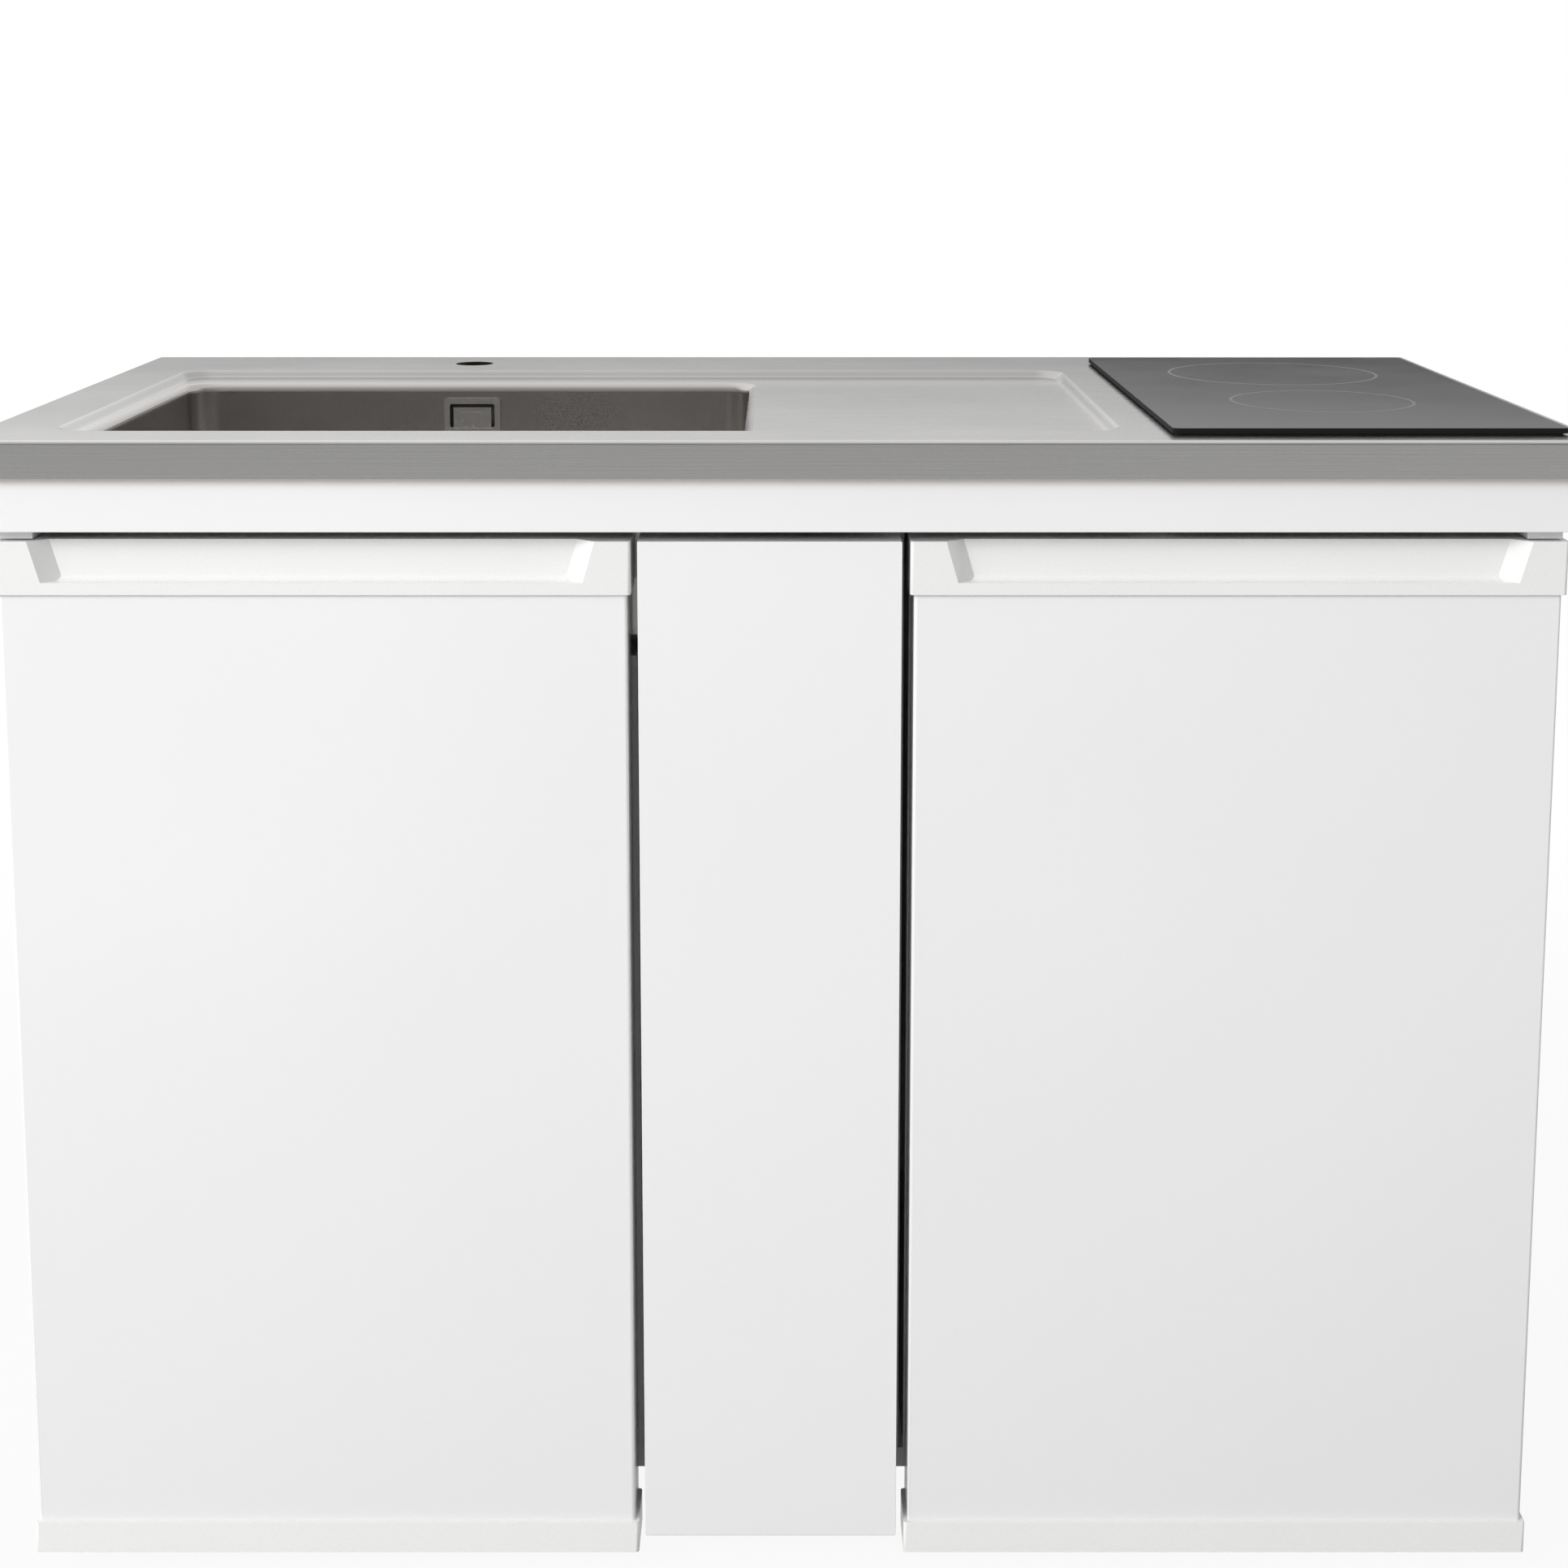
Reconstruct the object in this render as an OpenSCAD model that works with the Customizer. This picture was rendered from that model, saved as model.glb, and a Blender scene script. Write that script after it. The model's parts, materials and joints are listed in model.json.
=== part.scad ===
// Kitchenette unit: stainless worktop with a pressed sink bowl and a two-zone glass hob,
// on a timber frame and cabinet, with a sink cupboard, a fixed centre panel and a built-in fridge.
// Frame: +X to the right, -Y to the front, +Z up. The origin is on the floor, under the middle.
// All lengths are in millimetres.

/* [Overall] */
// Width of the worktop
unit_w = 1200; // [1180:5:1300]
// Depth of the worktop
unit_d = 600; // [596:2:640]
// Height of the worktop above the floor
unit_h = 900; // [880:5:950]

/* [Worktop] */
// Thickness of the stainless sheet
sheet_t = 1; // [0.8:0.1:1.5]
// Height of the folded skirt
skirt_h = 28; // [22:1:34]
// Radius of the fold along the edges
edge_r = 3; // [2:0.5:5]
// Corner radius of the flat top, seen from above
top_corner_r = 2; // [1:0.5:4]
// Sunken drainer: distance from the left edge of the worktop
drainer_left = 55; // [50:1:60]
// Sunken drainer: distance from the front edge of the worktop
drainer_front = 55; // [50:1:58]
// Sunken drainer: distance from the hob's glass
drainer_right = 32; // [30:1:50]
// Sunken drainer: distance from the back edge of the worktop
drainer_back = 122; // [120:1:140]
// Sunken drainer: depth below the worktop
drainer_depth = 6; // [4:0.5:8]
// Width of the sloped step round the drainer
step_w = 9; // [7:0.5:10]
// Inside corner radius of the drainer
drainer_corner_r = 16; // [12:1:24]
// Width of the timber battens at the sides of the worktop
batten_w = 40; // [34:1:44]
// Diameter of the tap hole
tap_hole_d = 35; // [32:0.5:36]
// Tap hole: distance from the left edge of the worktop
tap_left = 312; // [280:1:340]
// Tap hole: distance from the back edge of the worktop
tap_back = 62; // [55:1:68]

/* [Sink] */
// Bowl: distance from the left edge of the worktop
bowl_left = 69; // [68:1:75]
// Bowl: distance from the front edge of the worktop
bowl_front = 66; // [66:1:68]
// Bowl: distance from the fridge's partition
bowl_right = 99; // [97:1:130]
// Bowl: distance from the back of the drainer
bowl_back = 48; // [46:1:56]
// Bowl: depth below the drainer
bowl_depth = 160; // [140:1:165]
// Bowl: corner radius of the opening
bowl_corner_r = 28; // [26:1:34]
// Radius of the rolled lip of the bowl
bowl_lip_r = 7; // [5:0.5:8]
// Radius between the bowl's walls and its floor
bowl_floor_r = 15; // [10:1:18]
// Diameter of the waste hole in the bowl
waste_hole_d = 90; // [86:1:94]
// Waste hole: distance from the back of the bowl's opening
waste_back = 95; // [85:1:110]
// Overflow opening: width
overflow_w = 50; // [44:1:56]
// Overflow opening: height
overflow_h = 31; // [26:1:34]
// Overflow opening: its top, below the worktop
overflow_drop = 19; // [17:1:24]
// Outside radius of the trap's bottle
trap_r = 36; // [32:1:40]
// Height of the trap's removable cup
trap_cup_h = 60; // [50:1:70]
// Outside radius of the waste pipe
pipe_r = 20; // [18:0.5:20]
// Wall of the plastic waste parts
pipe_t = 2; // [1.5:0.1:3]

/* [Hob] */
// Width of the glass
hob_w = 292; // [284:2:296]
// Glass: distance from the back edge of the worktop
hob_back = 62; // [60:1:72]
// Glass: distance from the right edge of the worktop
hob_right = 19; // [17:1:22]
// Glass: distance from the front edge of the worktop
hob_front = 28; // [26:1:32]
// Thickness of the glass
glass_t = 4; // [3:0.5:6]
// Thickness of the seal under the glass
hob_seal_t = 1.5; // [1:0.1:2]
// Overlap of the glass on the worktop at each side
hob_overlap = 18; // [17:0.5:19]
// Depth of the steel tray below the worktop
hob_tray_h = 49; // [44:1:50]
// Gap between the two heating zones
zone_gap = 42; // [36:1:48]
// Size of the front heating zone as a share of the rear one
zone_share = 0.8; // [0.75:0.05:0.9]

/* [Front] */
// Distance from the worktop's side edge to the doors' outer edge
side_inset = 20; // [18:1:22]
// Distance from the worktop's front edge to the door caps
door_inset = 15; // [13:1:18]
// Width of the sink cupboard's door
sink_door_w = 470; // [464:1:478]
// Width of the fridge door
fridge_door_w = 484; // [478:1:490]
// Thickness of the doors, with their caps
door_t = 48; // [46:1:50]
// Height of the doors' lower edge above the floor
door_z = 23; // [20:1:30]
// Height of the top caps
top_cap_h = 40; // [38:1:46]
// Height of the bottom caps
bottom_cap_h = 25; // [20:1:30]
// How far the caps stand out round the steel panels
cap_proud = 3; // [2:0.5:5]
// Height of the finger grip in the top caps
grip_h = 31; // [26:1:33]
// Depth of the finger grip
grip_depth = 11.5; // [8:0.5:12]
// Distance from the cap's end to the grip
grip_end = 26; // [24:1:34]
// Sheet of the door panels and fascia
panel_t = 0.8; // [0.6:0.1:1.2]
// Wall of the hollow caps
cap_wall = 3; // [2:0.5:4]
// Thickness of the doors' inner panels
door_back_t = 3; // [2:0.5:4]
// Gap beside the centre panel
panel_gap = 5; // [3:0.5:7]
// Lower edge of the centre panel above the floor
centre_panel_z = 37; // [30:1:45]
// Gap between the doors and the fascia
top_gap = 8; // [6:0.5:9]
// Height of the fascia
fascia_h = 40.5; // [39:0.5:44]
// Depth of the folded fascia
fascia_t = 14; // [12:0.5:14]
// Distance from the worktop's side edge to the fascia's end
fascia_inset = 14; // [10:1:18]
// Distance from the worktop's front edge to the fascia
fascia_front = 8; // [7:0.5:9]
// Gap between the doors' inner faces and the cabinet
seal_t = 8; // [7:0.5:9]
// Radius of the doors' hinge pins
pin_r = 4; // [3:0.5:5]
// Hinge pin: distance from the door's outer edge
pin_side = 16; // [14:0.5:17]
// Hinge pin: distance from the door's inner face
pin_back = 18; // [16:0.5:20]
// Length of the hinge pins
pin_len = 14; // [10:1:18]

/* [Cabinet] */
// Thickness of the cabinet's faced boards
board_t = 16; // [15:0.5:18]
// Underside of the cabinet above the floor
foot_h = 62; // [58:1:70]
// Width of the front flanges on the boards
flange_w = 40; // [34:1:44]
// Thickness of the front flanges
flange_t = 2; // [1.5:0.5:3]
// Thickness of the back panel
back_t = 6; // [4:0.5:8]
// Distance from the worktop's back edge to the cabinet's back
cabinet_back_inset = 10; // [10:1:14]
// Radius of the levelling feet
foot_r = 26; // [22:1:28]
// Width of the frame's bars
frame_bar_w = 30; // [24:1:34]

/* [Fridge] */
// Thickness of the fridge's outer sheet
case_t = 0.8; // [0.6:0.1:1.2]
// Insulation in the side walls
side_foam = 38; // [34:1:42]
// Insulation above and below the inner space
end_foam = 38; // [34:1:42]
// Insulation behind the inner space
rear_foam = 42; // [38:1:46]
// Wall of the plastic liner
liner_t = 2; // [1.5:0.5:3]
// Distance from the worktop's back edge to the fridge's back
fridge_back_inset = 50; // [46:1:56]
// Height of the compressor's recess
recess_h = 140; // [138:1:150]
// Depth of the compressor's recess
recess_d = 135; // [130:1:140]
// Radius of the compressor
compressor_r = 60; // [52:1:62]
// Height of the freezer box
freezer_h = 126; // [110:2:130]
// Depth of the freezer box
freezer_d = 260; // [240:2:264]
// Sheet of the freezer box
freezer_t = 1.5; // [1:0.1:2]
// Thickness of the freezer's flap
flap_t = 4.5; // [3.5:0.5:5]
// Thickness of the glass shelves
shelf_t = 4; // [3:0.5:5]
// Height of the crisper drawer
drawer_h = 112; // [90:1:114]
// Depth of the crisper drawer
drawer_d = 195; // [170:1:196]
// Wall of the drawer and the door bins
tray_wall = 2; // [1.5:0.5:3]
// Height of the door bins
bin_h = 90; // [70:1:100]
// Depth of the door bins
bin_d = 58; // [48:1:62]
// Radius of the thermostat knob
knob_r = 15; // [12:0.5:17]

/* [Clearances] */
// Clearance between pieces that don't touch
gap = 0.3; // [0.2:0.05:0.4]
// Radial clearance of a turning pin
pin_clearance = 0.05; // [0.02:0.01:0.08]
// Play at each side of a sliding piece
slide_gap = 1; // [0.5:0.1:1.5]

/* [Hidden] */
$fn = 64;
overshoot = 1; // how far a cut runs past the face it opens

// Worktop
left = -unit_w / 2;
right = unit_w / 2;
front = -unit_d / 2;
back = unit_d / 2;
hob_x1 = right - hob_right;
hob_x0 = hob_x1 - hob_w;
drainer_x0 = left + drainer_left;
drainer_x1 = hob_x0 - drainer_right;
drainer_y0 = front + drainer_front;
drainer_y1 = back - drainer_back;
drainer_z = unit_h - drainer_depth;
worktop_under = unit_h - skirt_h;
tap_at = [left + tap_left, back - tap_back];

// Boards and doors that the bowl's place follows
door_edge_gap = 2; // from the fridge door's edge to its partition
sink_door_x0 = left + side_inset;
sink_door_x1 = sink_door_x0 + sink_door_w;
fridge_door_x1 = right - side_inset;
fridge_door_x0 = fridge_door_x1 - fridge_door_w;
fridge_partition_x1 = fridge_door_x0 - door_edge_gap;
fridge_partition_x0 = fridge_partition_x1 - board_t;

// Bowl: the opening, then the walls inside its rolled lip
lip_x = [left + bowl_left, fridge_partition_x0 - bowl_right];
lip_y = [front + bowl_front, drainer_y1 - bowl_back];
bowl_x0 = lip_x[0] + bowl_lip_r;
bowl_x1 = lip_x[1] - bowl_lip_r;
bowl_y0 = lip_y[0] + bowl_lip_r;
bowl_y1 = lip_y[1] - bowl_lip_r;
bowl_r = bowl_corner_r - bowl_lip_r;
bowl_z = drainer_z - bowl_depth;
bowl_mid = (bowl_x0 + bowl_x1) / 2;
waste_at = [bowl_mid, lip_y[1] - waste_back];
waste_flange_r = waste_hole_d / 2 + 12;
waste_flange_t = 2.5;
waste_cup_r = waste_hole_d / 2 - 3;
waste_cup_h = 45;
waste_tail_r = 23;
waste_tail_h = 34;
seat_r = waste_cup_r - 6;
seat_drop = 8;
basket_r = seat_r - slide_gap;
basket_h = 26;
nut_h = 10;
overflow_top = unit_h - overflow_drop;
overflow_mid_z = overflow_top - overflow_h / 2;
overflow_cover_t = 3;
overflow_box_t = 24;
overflow_box_wall = 1.5;
overflow_hole_margin = 5; // the cover's overlap on the bowl's wall
hose_r = 10;
hose_t = 1.8;
hose_bend_r = 28;
hose_y = bowl_y1 + sheet_t + 2 + hose_r;
hose_top = overflow_top - overflow_h - 8;
hose_z = bowl_z - 22; // centre of the run into the waste
trap_top = bowl_z - waste_cup_h - waste_tail_h;
trap_body_h = 78;
trap_z = trap_top - 18 - trap_body_h;
outlet_z = trap_z + trap_body_h - pipe_r - 10;
outlet_len = 34;
joint_y = waste_at.y + trap_r + outlet_len;
nut_wall = 6;
pipe_stop = 48; // from the pipe's end to its stop ring
pipe_end_y = back - 2;
service_w = 200; // the opening in the back panel round the waste pipe
service_h = 140;

// Hob
hob_y0 = front + hob_front;
hob_y1 = back - hob_back;
hob_mid = (hob_x0 + hob_x1) / 2;
hob_corner_r = 5;
glass_z = unit_h + hob_seal_t;
cut_x0 = hob_x0 + hob_overlap;
cut_x1 = hob_x1 - hob_overlap;
cut_y0 = hob_y0 + hob_overlap;
cut_y1 = hob_y1 - hob_overlap;
tray_gap = 2;
tray_t = 1;
tray_z = unit_h - hob_tray_h;
tray_x0 = cut_x0 + tray_gap;
tray_x1 = cut_x1 - tray_gap;
tray_y0 = cut_y0 + tray_gap;
tray_y1 = cut_y1 - tray_gap;
element_h = 22;
element_wall = 4;
element_leg_r = 12;
zone_margin = 26; // from the tray's wall or the control board to the nearest zone
board_y0 = tray_y0 + 8;
board_d = 44;
board_w = 190;
key_pitch = 34;
zones_len = tray_y1 - board_y0 - board_d - 2 * zone_margin - zone_gap;
rear_zone_r = zones_len / 2 / (1 + zone_share);
front_zone_r = rear_zone_r * zone_share;
rear_zone_y = tray_y1 - zone_margin - rear_zone_r;
front_zone_y = rear_zone_y - rear_zone_r - zone_gap - front_zone_r;
clip_w = 20;
clip_side = 60; // from the hob's middle to the middle of a clip

// Front
fascia_y = front + fascia_front;
fascia_z = worktop_under - gap - fascia_h;
door_top = fascia_z - top_gap;
door_y = front + door_inset;
door_back = door_y + door_t;
cabinet_front = door_back + seal_t;
centre_x0 = sink_door_x1 + panel_gap;
centre_x1 = fridge_door_x0 - panel_gap - 1;
panel_z0 = door_z + bottom_cap_h;
panel_z1 = door_top - top_cap_h;
cap_edge_r = 2.5;
pin_y = door_back - pin_back;
sink_pin_x = sink_door_x0 + pin_side;
fridge_pin_x = fridge_door_x1 - pin_side;
bracket_t = 4;
bracket_w = 26;

// Frame and cabinet
frame_z = fascia_z;
frame_top = worktop_under;
frame_front_y = fascia_y + fascia_t + gap;
frame_front_t = 12;
side_x = side_inset + 2; // cabinet's outer side, from the worktop's edge
cabinet_x0 = left + side_x;
cabinet_x1 = right - side_x;
cabinet_back_y = back - cabinet_back_inset;
floor_top = foot_h + board_t;
frame_side_w = board_t - 2;
partition_x1 = sink_door_x1 + 1;
partition_x0 = partition_x1 - board_t;
partition_low = bowl_z - sheet_t - 8;

// Fridge
fridge_x0 = fridge_partition_x1 + 4;
fridge_x1 = cabinet_x1 - board_t - 4;
fridge_y1 = back - fridge_back_inset;
fridge_z0 = floor_top;
fridge_z1 = frame_z - 5;
room_x0 = fridge_x0 + side_foam;
room_x1 = fridge_x1 - side_foam;
room_y1 = fridge_y1 - rear_foam;
room_z0 = fridge_z0 + end_foam;
room_z1 = fridge_z1 - end_foam;
step_y = fridge_y1 - recess_d - 40;
step_z = fridge_z0 + recess_h + 40;
shelf_front = door_back + bin_d + 29;
ledge_w = 8;
ledge_h = 6;
crisper_cover_z = step_z - 14;
shelf_pitch = 118;
shelf_zs = [step_z + shelf_pitch, step_z + 2 * shelf_pitch];
drawer_x0 = room_x0 + 6;
drawer_x1 = room_x1 - 6;
drawer_y1 = step_y - 6;
freezer_x0 = room_x0 + 4;
freezer_x1 = room_x1 - 4;
freezer_z1 = room_z1 - gap;
freezer_z0 = freezer_z1 - freezer_h;
flap_grip_inset = 90;
freezer_y1 = room_y1 - 4;
freezer_y0 = freezer_y1 - freezer_d;
flap_pin_r = 2.5;
flap_pin_z = freezer_z0 + freezer_t + 6.5;
flap_y = freezer_y0 - 1 - flap_t;
flap_pin_y = flap_y + flap_t / 2;
thermostat_w = 40;
thermostat_h = 50;
thermostat_d = 140;
thermostat_x0 = room_x1 - thermostat_w;
thermostat_y0 = freezer_y0 + 40;
thermostat_z0 = freezer_z0 - 8 - thermostat_h;
knob_at = [thermostat_x0 + thermostat_w / 2, thermostat_z0 + thermostat_h / 2];
knob_len = 14;
knob_shaft_r = 3;
lens_t = 8;
rib_w = 9;
rib_x0 = room_x0 + 10;
rib_x1 = room_x1 - 6;
bin_x0 = rib_x0 + rib_w + slide_gap;
bin_x1 = rib_x1 - rib_w - slide_gap;
bin_low = 14; // the lower bin's height above the inner step
bin_pitch = 195;
bin_zs = [step_z + bin_low, step_z + bin_low + bin_pitch];
bin_ledge_h = 6;
seal_w = 12;
compressor_side = 130; // from the fridge's left side to the compressor's middle

// A block between two corners
module block(x, y, z) {
    translate([x[0], y[0], z[0]]) cube([x[1] - x[0], y[1] - y[0], z[1] - z[0]]);
}

// A flat rounded rectangle between two corners
module round_rect(x, y, r) {
    translate([x[0] + r, y[0]]) square([x[1] - x[0] - 2 * r, y[1] - y[0]]);
    translate([x[0], y[0] + r]) square([x[1] - x[0], y[1] - y[0] - 2 * r]);
    for (cx = [x[0] + r, x[1] - r], cy = [y[0] + r, y[1] - r]) translate([cx, cy]) circle(r);
}

// A rounded plate between two corners
module round_plate(x, y, z, r) {
    translate([0, 0, z[0]]) linear_extrude(z[1] - z[0]) round_rect(x, y, r);
}

// A profile swept round a rounded rectangle: its first axis points outwards, its second up
module swept(x, y, r) {
    corners = [[x[1] - r, y[1] - r], [x[0] + r, y[1] - r], [x[0] + r, y[0] + r], [x[1] - r, y[0] + r]];
    for (i = [0:3]) {
        run = i % 2 == 0 ? y[1] - y[0] - 2 * r : x[1] - x[0] - 2 * r;
        translate(corners[i]) rotate([0, 0, 90 * i]) {
            rotate_extrude(angle = 90) translate([r, 0]) children();
            rotate([90, 0, 0]) linear_extrude(run) translate([r, 0]) children();
        }
    }
}

// Points of an arc, from angle a0 to a1
function arc(c, r, a0, a1, n = 6) =
    [for (i = [0:n]) let (a = a0 + (a1 - a0) * i / n) c + r * [cos(a), sin(a)]];

// A prism along X from an outline in Y and Z
module along_x(x) {
    translate([x[0], 0, 0]) rotate([90, 0, 90]) linear_extrude(x[1] - x[0]) children();
}

// A prism along Y from an outline in X and Z
module along_y(y) {
    translate([0, y[1], 0]) rotate([90, 0, 0]) linear_extrude(y[1] - y[0]) children();
}

// A cylinder along Y
module rod_y(x, y, z, r) {
    translate([x, y[0], z]) rotate([-90, 0, 0]) cylinder(r = r, h = y[1] - y[0]);
}

// The top: a flat sheet, a folded skirt, a sloped step and the sunken drainer's floor
module worktop_sheet() {
    flat_x = [left + edge_r, right - edge_r];
    flat_y = [front + edge_r, back - edge_r];
    floor_x = [drainer_x0 + step_w, drainer_x1 - step_w];
    floor_y = [drainer_y0 + step_w, drainer_y1 - step_w];
    steps = 8;
    slope = [for (i = [0:steps])
        [step_w * i / steps, -drainer_depth * (1 + cos(180 * i / steps)) / 2]];
    color("silver") union() {
        difference() {
            round_plate(flat_x, flat_y, [unit_h - sheet_t, unit_h], top_corner_r);
            round_plate([drainer_x0, drainer_x1], [drainer_y0, drainer_y1],
                [unit_h - 2 * sheet_t, unit_h + overshoot], drainer_corner_r + step_w);
            round_plate([cut_x0, cut_x1], [cut_y0, cut_y1],
                [unit_h - 2 * sheet_t, unit_h + overshoot], hob_corner_r);
            translate([tap_at.x, tap_at.y, unit_h - 2 * sheet_t])
                cylinder(d = tap_hole_d, h = 3 * sheet_t);
        }
        translate([0, 0, unit_h]) swept(flat_x, flat_y, top_corner_r) polygon(concat(
            arc([0, -edge_r], edge_r, 90, 0),
            [[edge_r, -skirt_h], [edge_r - sheet_t, -skirt_h]],
            arc([0, -edge_r], edge_r - sheet_t, 0, 90)));
        translate([0, 0, unit_h]) swept(floor_x, floor_y, drainer_corner_r) polygon(concat(
            slope, [for (i = [steps:-1:0]) slope[i] - [0, sheet_t]]));
        difference() {
            round_plate(floor_x, floor_y, [drainer_z - sheet_t, drainer_z], drainer_corner_r);
            round_plate(lip_x, lip_y, [drainer_z - 2 * sheet_t, drainer_z + overshoot],
                bowl_corner_r);
        }
    }
}

// Timber battens bonded under the flat parts of the top, with room for the tap's nut
module worktop_battens() {
    z = [worktop_under, unit_h - sheet_t];
    x0 = left + edge_r + gap;
    x1 = right - edge_r - gap;
    y0 = front + edge_r + gap;
    y1 = back - edge_r - gap;
    front_end = drainer_y0 - 8;
    rear_start = drainer_y1 + 4;
    mid_x0 = drainer_x1 + 4;
    mid_x1 = cut_x0 - 3;
    hob_rear = cut_y1 + 4;
    front_right_end = cut_y0 - 3;
    tap_room = tap_hole_d / 2 + 8;
    color("peru") {
        block([x0, mid_x1], [y0, front_end], z);
        block([mid_x1 + gap, x1], [y0, front_right_end], z);
        block([x0, x0 + batten_w], [front_end + gap, rear_start - gap], z);
        block([mid_x0, mid_x1], [front_end + gap, rear_start - gap], z);
        block([cut_x1 + 3, x1], [front_right_end + gap, hob_rear - gap], z);
        block([mid_x1 + gap, x1], [hob_rear, y1], z);
        block([x0, tap_at.x - tap_room], [rear_start, y1], z);
        block([tap_at.x + tap_room, mid_x1], [rear_start, y1], z);
    }
}

// The pressed bowl, from its rolled lip down to its floor
module sink_bowl() {
    depth = bowl_depth;
    lip = bowl_lip_r;
    color("darkgray") difference() {
        union() {
            translate([0, 0, drainer_z]) swept([bowl_x0, bowl_x1], [bowl_y0, bowl_y1], bowl_r)
                polygon(concat(
                    arc([lip, -lip], lip, 90, 180),
                    arc([-bowl_floor_r, -depth + bowl_floor_r], bowl_floor_r, 0, -90),
                    [[-bowl_floor_r, -depth - sheet_t]],
                    arc([-bowl_floor_r, -depth + bowl_floor_r], bowl_floor_r + sheet_t, -90, 0),
                    arc([lip, -lip], lip - sheet_t, 180, 90)));
            round_plate([bowl_x0 + bowl_floor_r, bowl_x1 - bowl_floor_r],
                [bowl_y0 + bowl_floor_r, bowl_y1 - bowl_floor_r],
                [bowl_z - sheet_t, bowl_z], bowl_r - bowl_floor_r);
        }
        translate([waste_at.x, waste_at.y, bowl_z - 2 * sheet_t])
            cylinder(d = waste_hole_d, h = 4 * sheet_t);
        block([bowl_mid - overflow_w / 2 + overflow_hole_margin,
               bowl_mid + overflow_w / 2 - overflow_hole_margin],
            [bowl_y1 - overshoot, bowl_y1 + sheet_t + overshoot],
            [overflow_top - overflow_h + overflow_hole_margin,
             overflow_top - overflow_hole_margin]);
    }
}

// The waste's cup and threaded tail, with the overflow's side inlet
module waste_body() {
    cup_z = bowl_z - waste_cup_h;
    wall = pipe_t;
    color("gainsboro") difference() {
        union() {
            translate([waste_at.x, waste_at.y, 0]) rotate_extrude() polygon([
                [seat_r, bowl_z - seat_drop],
                [waste_cup_r - wall, bowl_z - seat_drop],
                [waste_cup_r - wall, bowl_z + waste_flange_t],
                [waste_flange_r, bowl_z + waste_flange_t - 1],
                [waste_flange_r, bowl_z + gap],
                [waste_cup_r, bowl_z + gap],
                [waste_cup_r, cup_z],
                [waste_tail_r, cup_z - 6],
                [waste_tail_r, cup_z - waste_tail_h],
                [waste_tail_r - wall, cup_z - waste_tail_h],
                [waste_tail_r - wall, cup_z - 6 + wall],
                [seat_r, cup_z + wall]]);
            rod_y(waste_at.x, [waste_at.y + waste_cup_r - 1, hose_y - hose_bend_r], hose_z,
                hose_r - hose_t - pin_clearance);
        }
        rod_y(waste_at.x, [waste_at.y + seat_r - 2, hose_y - hose_bend_r + overshoot], hose_z,
            hose_r - hose_t - pin_clearance - 1.5);
    }
}

// Nut that pulls the waste against the bowl's floor
module waste_locknut() {
    z = bowl_z - sheet_t - gap - nut_h;
    color("white") translate([waste_at.x, waste_at.y, z]) difference() {
        union() {
            cylinder(r = waste_flange_r, h = nut_h);
            for (a = [0:60:300]) rotate([0, 0, a]) translate([waste_flange_r, 0, 0])
                cylinder(r = 4, h = nut_h);
        }
        translate([0, 0, -overshoot]) cylinder(r = waste_cup_r + pin_clearance, h = 3 * nut_h);
    }
}

// Perforated basket that lifts out of the waste
module strainer_basket() {
    rim_z = bowl_z - seat_drop + gap;
    wall = 1.2;
    stem_r = 3;
    color("silver") translate([waste_at.x, waste_at.y, 0]) {
        difference() {
            union() {
                translate([0, 0, rim_z - basket_h]) cylinder(r = basket_r, h = basket_h);
                translate([0, 0, rim_z]) cylinder(r = seat_r + 2, h = wall);
            }
            translate([0, 0, rim_z - basket_h + wall])
                cylinder(r = basket_r - wall, h = basket_h + 2 * wall);
            for (ring = [12, 22], a = [0:45:315]) rotate([0, 0, a + ring])
                translate([ring, 0, rim_z - basket_h - overshoot]) cylinder(r = 3, h = 4);
        }
        translate([0, 0, rim_z - basket_h]) cylinder(r = stem_r, h = basket_h + 12);
        translate([0, 0, rim_z + 12]) cylinder(r = 3 * stem_r, h = 4);
    }
}

// Plate over the overflow: a slot round three sides of a sunken tongue that carries a bar
module overflow_cover() {
    x = [bowl_mid - overflow_w / 2, bowl_mid + overflow_w / 2];
    z = [overflow_top - overflow_h, overflow_top];
    y = [bowl_y1 - gap - overflow_cover_t, bowl_y1 - gap];
    frame = overflow_hole_margin;
    slot = 3.2;
    bar = [0.4 * overflow_w, 6];
    module tongue(spare) {
        translate([x[0] + frame + slot - spare, z[0] + frame - spare])
            square([overflow_w - 2 * (frame + slot - spare), overflow_h - 2 * frame - slot + 2 * spare]);
    }
    color("silver") difference() {
        along_y(y) round_rect(x, z, 3);
        along_y([y[0] - overshoot, y[1] + overshoot]) difference() {
            round_rect([x[0] + frame, x[1] - frame], [z[0] + frame, z[1] - frame], 2);
            tongue(0);
        }
        along_y([y[0] - overshoot, y[0] + 1.2]) difference() {
            tongue(slot / 4);
            translate([bowl_mid - bar.x / 2, overflow_mid_z - bar.y / 2]) square(bar);
        }
    }
}

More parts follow.
